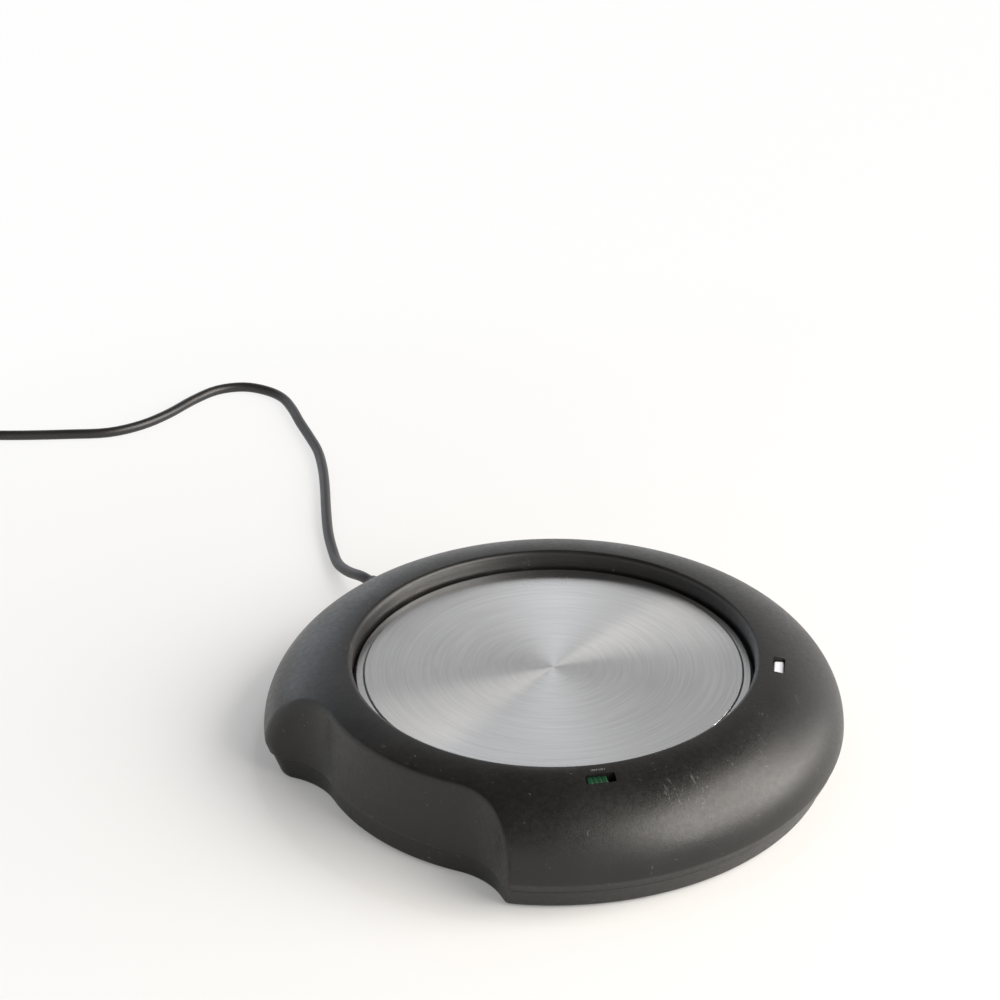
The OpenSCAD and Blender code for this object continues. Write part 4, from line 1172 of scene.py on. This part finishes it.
def milky_plastic():
    """Clouded plastic that lets a little light in."""
    n = Material("milky_lens")
    cloud = n.noise(1.2, 2)
    return n.set(
        Base_Color=n.mix(cloud, (0.80, 0.80, 0.86), (0.88, 0.88, 0.92)),
        Roughness=0.32,
        Subsurface_Weight=0.25,
        Subsurface_Radius=(0.001, 0.001, 0.001),
        Normal=n.bump(n.noise(0.4, 2), 0.01),
    )


MATERIALS = {
    "case_plastic": case_plastic(),
    "foot_rubber": plastic("foot_rubber", grey(0.012), 0.7, 0.6, 0.03),
    "zinc_steel": metal("zinc_steel", (0.52, 0.53, 0.55), 0.32),
    "plate_steel": plate_steel(),
    "silicone_seal": plastic("silicone_seal", (0.36, 0.05, 0.03), 0.5, 0.5),
    "heater_film": plastic("heater_film", (0.45, 0.17, 0.03), 0.25, 0.8, 0.004),
    "fibre_pad": woven("fibre_pad", (0.62, 0.58, 0.5), 0.7),
    "thermostat_plastic": plastic("thermostat_plastic", (0.03, 0.035, 0.045), 0.4),
    "bracket_steel": metal("bracket_steel", (0.5, 0.5, 0.51), 0.38),
    "board_laminate": board_mask(),
    "switch_phenolic": plastic("switch_phenolic", (0.14, 0.06, 0.02), 0.5),
    "switch_steel": metal("switch_steel", (0.55, 0.55, 0.55), 0.3),
    "contact_brass": metal("contact_brass", (0.62, 0.42, 0.14), 0.25),
    "button_plastic": plastic("button_plastic", (0.0003, 0.034, 0.010), 0.5, 0.3, 0.004, shine=0.3),
    "led_plastic": milky_plastic(),
    "lead_steel": metal("lead_steel", (0.65, 0.65, 0.64), 0.25),
    "resistor_coat": plastic("resistor_coat", (0.5, 0.37, 0.18), 0.3),
    "wire_red": plastic("wire_red", (0.4, 0.015, 0.012), 0.4),
    "wire_black": plastic("wire_black", grey(0.015), 0.4),
    "wire_white": plastic("wire_white", (0.6, 0.58, 0.52), 0.55),
    "cord_pvc": plastic("cord_pvc", (0.013, 0.0115, 0.0115), 0.4, 0.5, 0.01),
    "clamp_plastic": plastic("clamp_plastic", grey(0.04), 0.5),
    "tie_fabric": woven("tie_fabric", grey(0.02)),
    "plug_plastic": plastic("plug_plastic", grey(0.022), 0.45),
    "plug_steel": metal("plug_steel", (0.68, 0.67, 0.64), 0.24),
    "tongue_plastic": plastic("tongue_plastic", (0.72, 0.72, 0.7), 0.35),
    "contact_gold": metal("contact_gold", (0.75, 0.52, 0.18), 0.2),
}


def dress():
    """Gives each CAD node and each made piece the material of its slot."""
    slots = {part["node"]: part["material_slot"] for part in frame["record"]["subparts"]}
    for name, node in NODES.items():
        node.data.materials.clear()
        node.data.materials.append(MATERIALS[slots[name]])
        sharpen(node.data, 30)
    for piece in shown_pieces():
        if "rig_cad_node" not in piece:
            piece.data.materials.clear()
            piece.data.materials.append(MATERIALS[piece["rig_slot"]])
    for mark in MARKS:
        mark.data.materials[0] = printed_ink()


# ---- Floor and light ----

FLOOR_COLOUR, FLOOR_HALF = (0.74, 0.73, 0.715), 6.0

# The floor is seen mixed with white, by the first share of FLOOR_LIFT up to LIFT_FROM metres
# from the middle and by the second one LIFT_SPAN further out
LIFT_FROM, LIFT_SPAN, FLOOR_LIFT = 0.056, 0.16, (0.20, 0.96)

# The studio is seen white, darkens between these heights of a ray's direction down to CEILING,
# and lights things at WORLD_LEVEL
DARK_FROM_TO, CEILING, WORLD_LEVEL = (0.30, 0.74), 0.08, 0.38

# The lamps: azimuth and elevation in degrees, distance and size in metres, brightness and colour
WARM, COOL = (1.0, 0.957, 0.90), (0.60, 0.78, 1.0)
LAMPS = {
    "right": (-18, 33, 0.9, (1.06, 0.74), 7.8, WARM),
    "right_low": (10, 8, 0.9, (0.70, 0.24), 4.6, WARM),
    "back_left": (120, 18, 1.0, (0.6, 0.35), 0.75, COOL),
}


def make_floor():
    """A warm white floor, whose shadows look softer than they fall, and fade away from the object."""
    mesh = bpy.data.meshes.new("floor")
    half = FLOOR_HALF
    corners = [(-half, -half, 0), (half, -half, 0), (half, half, 0), (-half, half, 0)]
    mesh.from_pydata(corners, [], [(0, 1, 2, 3)])
    floor = bpy.data.objects.new("floor", mesh)
    bpy.context.scene.collection.objects.link(floor)
    n = Material("floor")
    n.set(Base_Color=FLOOR_COLOUR, Roughness=0.6, Specular_IOR_Level=0.2)
    white = n.add("ShaderNodeEmission", {"Color": (1, 1, 1), "Strength": 1.0})
    from_middle = n.distance((0, 0, 0))
    further = n.math("MAXIMUM", n.math("SUBTRACT", from_middle, LIFT_FROM), 0.0)
    lift = n.ramp(n.math("SQRT", further), 0.0, math.sqrt(LIFT_SPAN), *FLOOR_LIFT)
    share = n.math("MULTIPLY", n.seen_directly(), lift)
    mixed = n.add("ShaderNodeMixShader", {
        0: share, 1: n.shader.outputs["BSDF"], 2: white.outputs["Emission"],
    })
    n.tree.links.new(mixed.outputs["Shader"], n.tree.nodes["Material Output"].inputs["Surface"])
    mesh.materials.append(n.material)


def softbox(name, azimuth, elevation, distance, size, radiance, colour):
    """A rectangular lamp that faces the object, level along its first size, this bright seen head on."""
    flat = distance * math.cos(math.radians(elevation))
    place = Vector(polar(flat, azimuth, distance * math.sin(math.radians(elevation))))
    data = bpy.data.lights.new(name, "AREA")
    data.shape = "RECTANGLE"
    data.size, data.size_y = size
    data.energy = radiance * math.pi * size[0] * size[1]
    data.color = colour
    light = bpy.data.objects.new(name, data)
    light.location = place
    light.rotation_euler = (-place).to_track_quat("-Z", "Y").to_euler()
    bpy.context.scene.collection.objects.link(light)


def make_world():
    """Even light, seen by the camera and in reflections as a white studio that darkens overhead."""
    world = bpy.data.worlds.new("studio")
    world.use_nodes = True
    bpy.context.scene.world = world
    n = Nodes(world.node_tree)
    up = n.add("ShaderNodeSeparateXYZ", {"Vector": n.coordinates["Generated"]}).outputs["Z"]
    overhead = n.ramp(up, *DARK_FROM_TO, 1.0, CEILING, "SMOOTHSTEP")
    background = n.tree.nodes["Background"].inputs
    n.put(background["Strength"], n.mix(n.seen_directly(), WORLD_LEVEL, overhead, "FLOAT"))
    n.put(background["Color"], (1, 1, 1))


dress()
make_floor()
make_world()
for name, lamp in LAMPS.items():
    softbox(name, *lamp)

bpy.context.scene.view_settings.view_transform = "Standard"

bpy.context.view_layer.update()
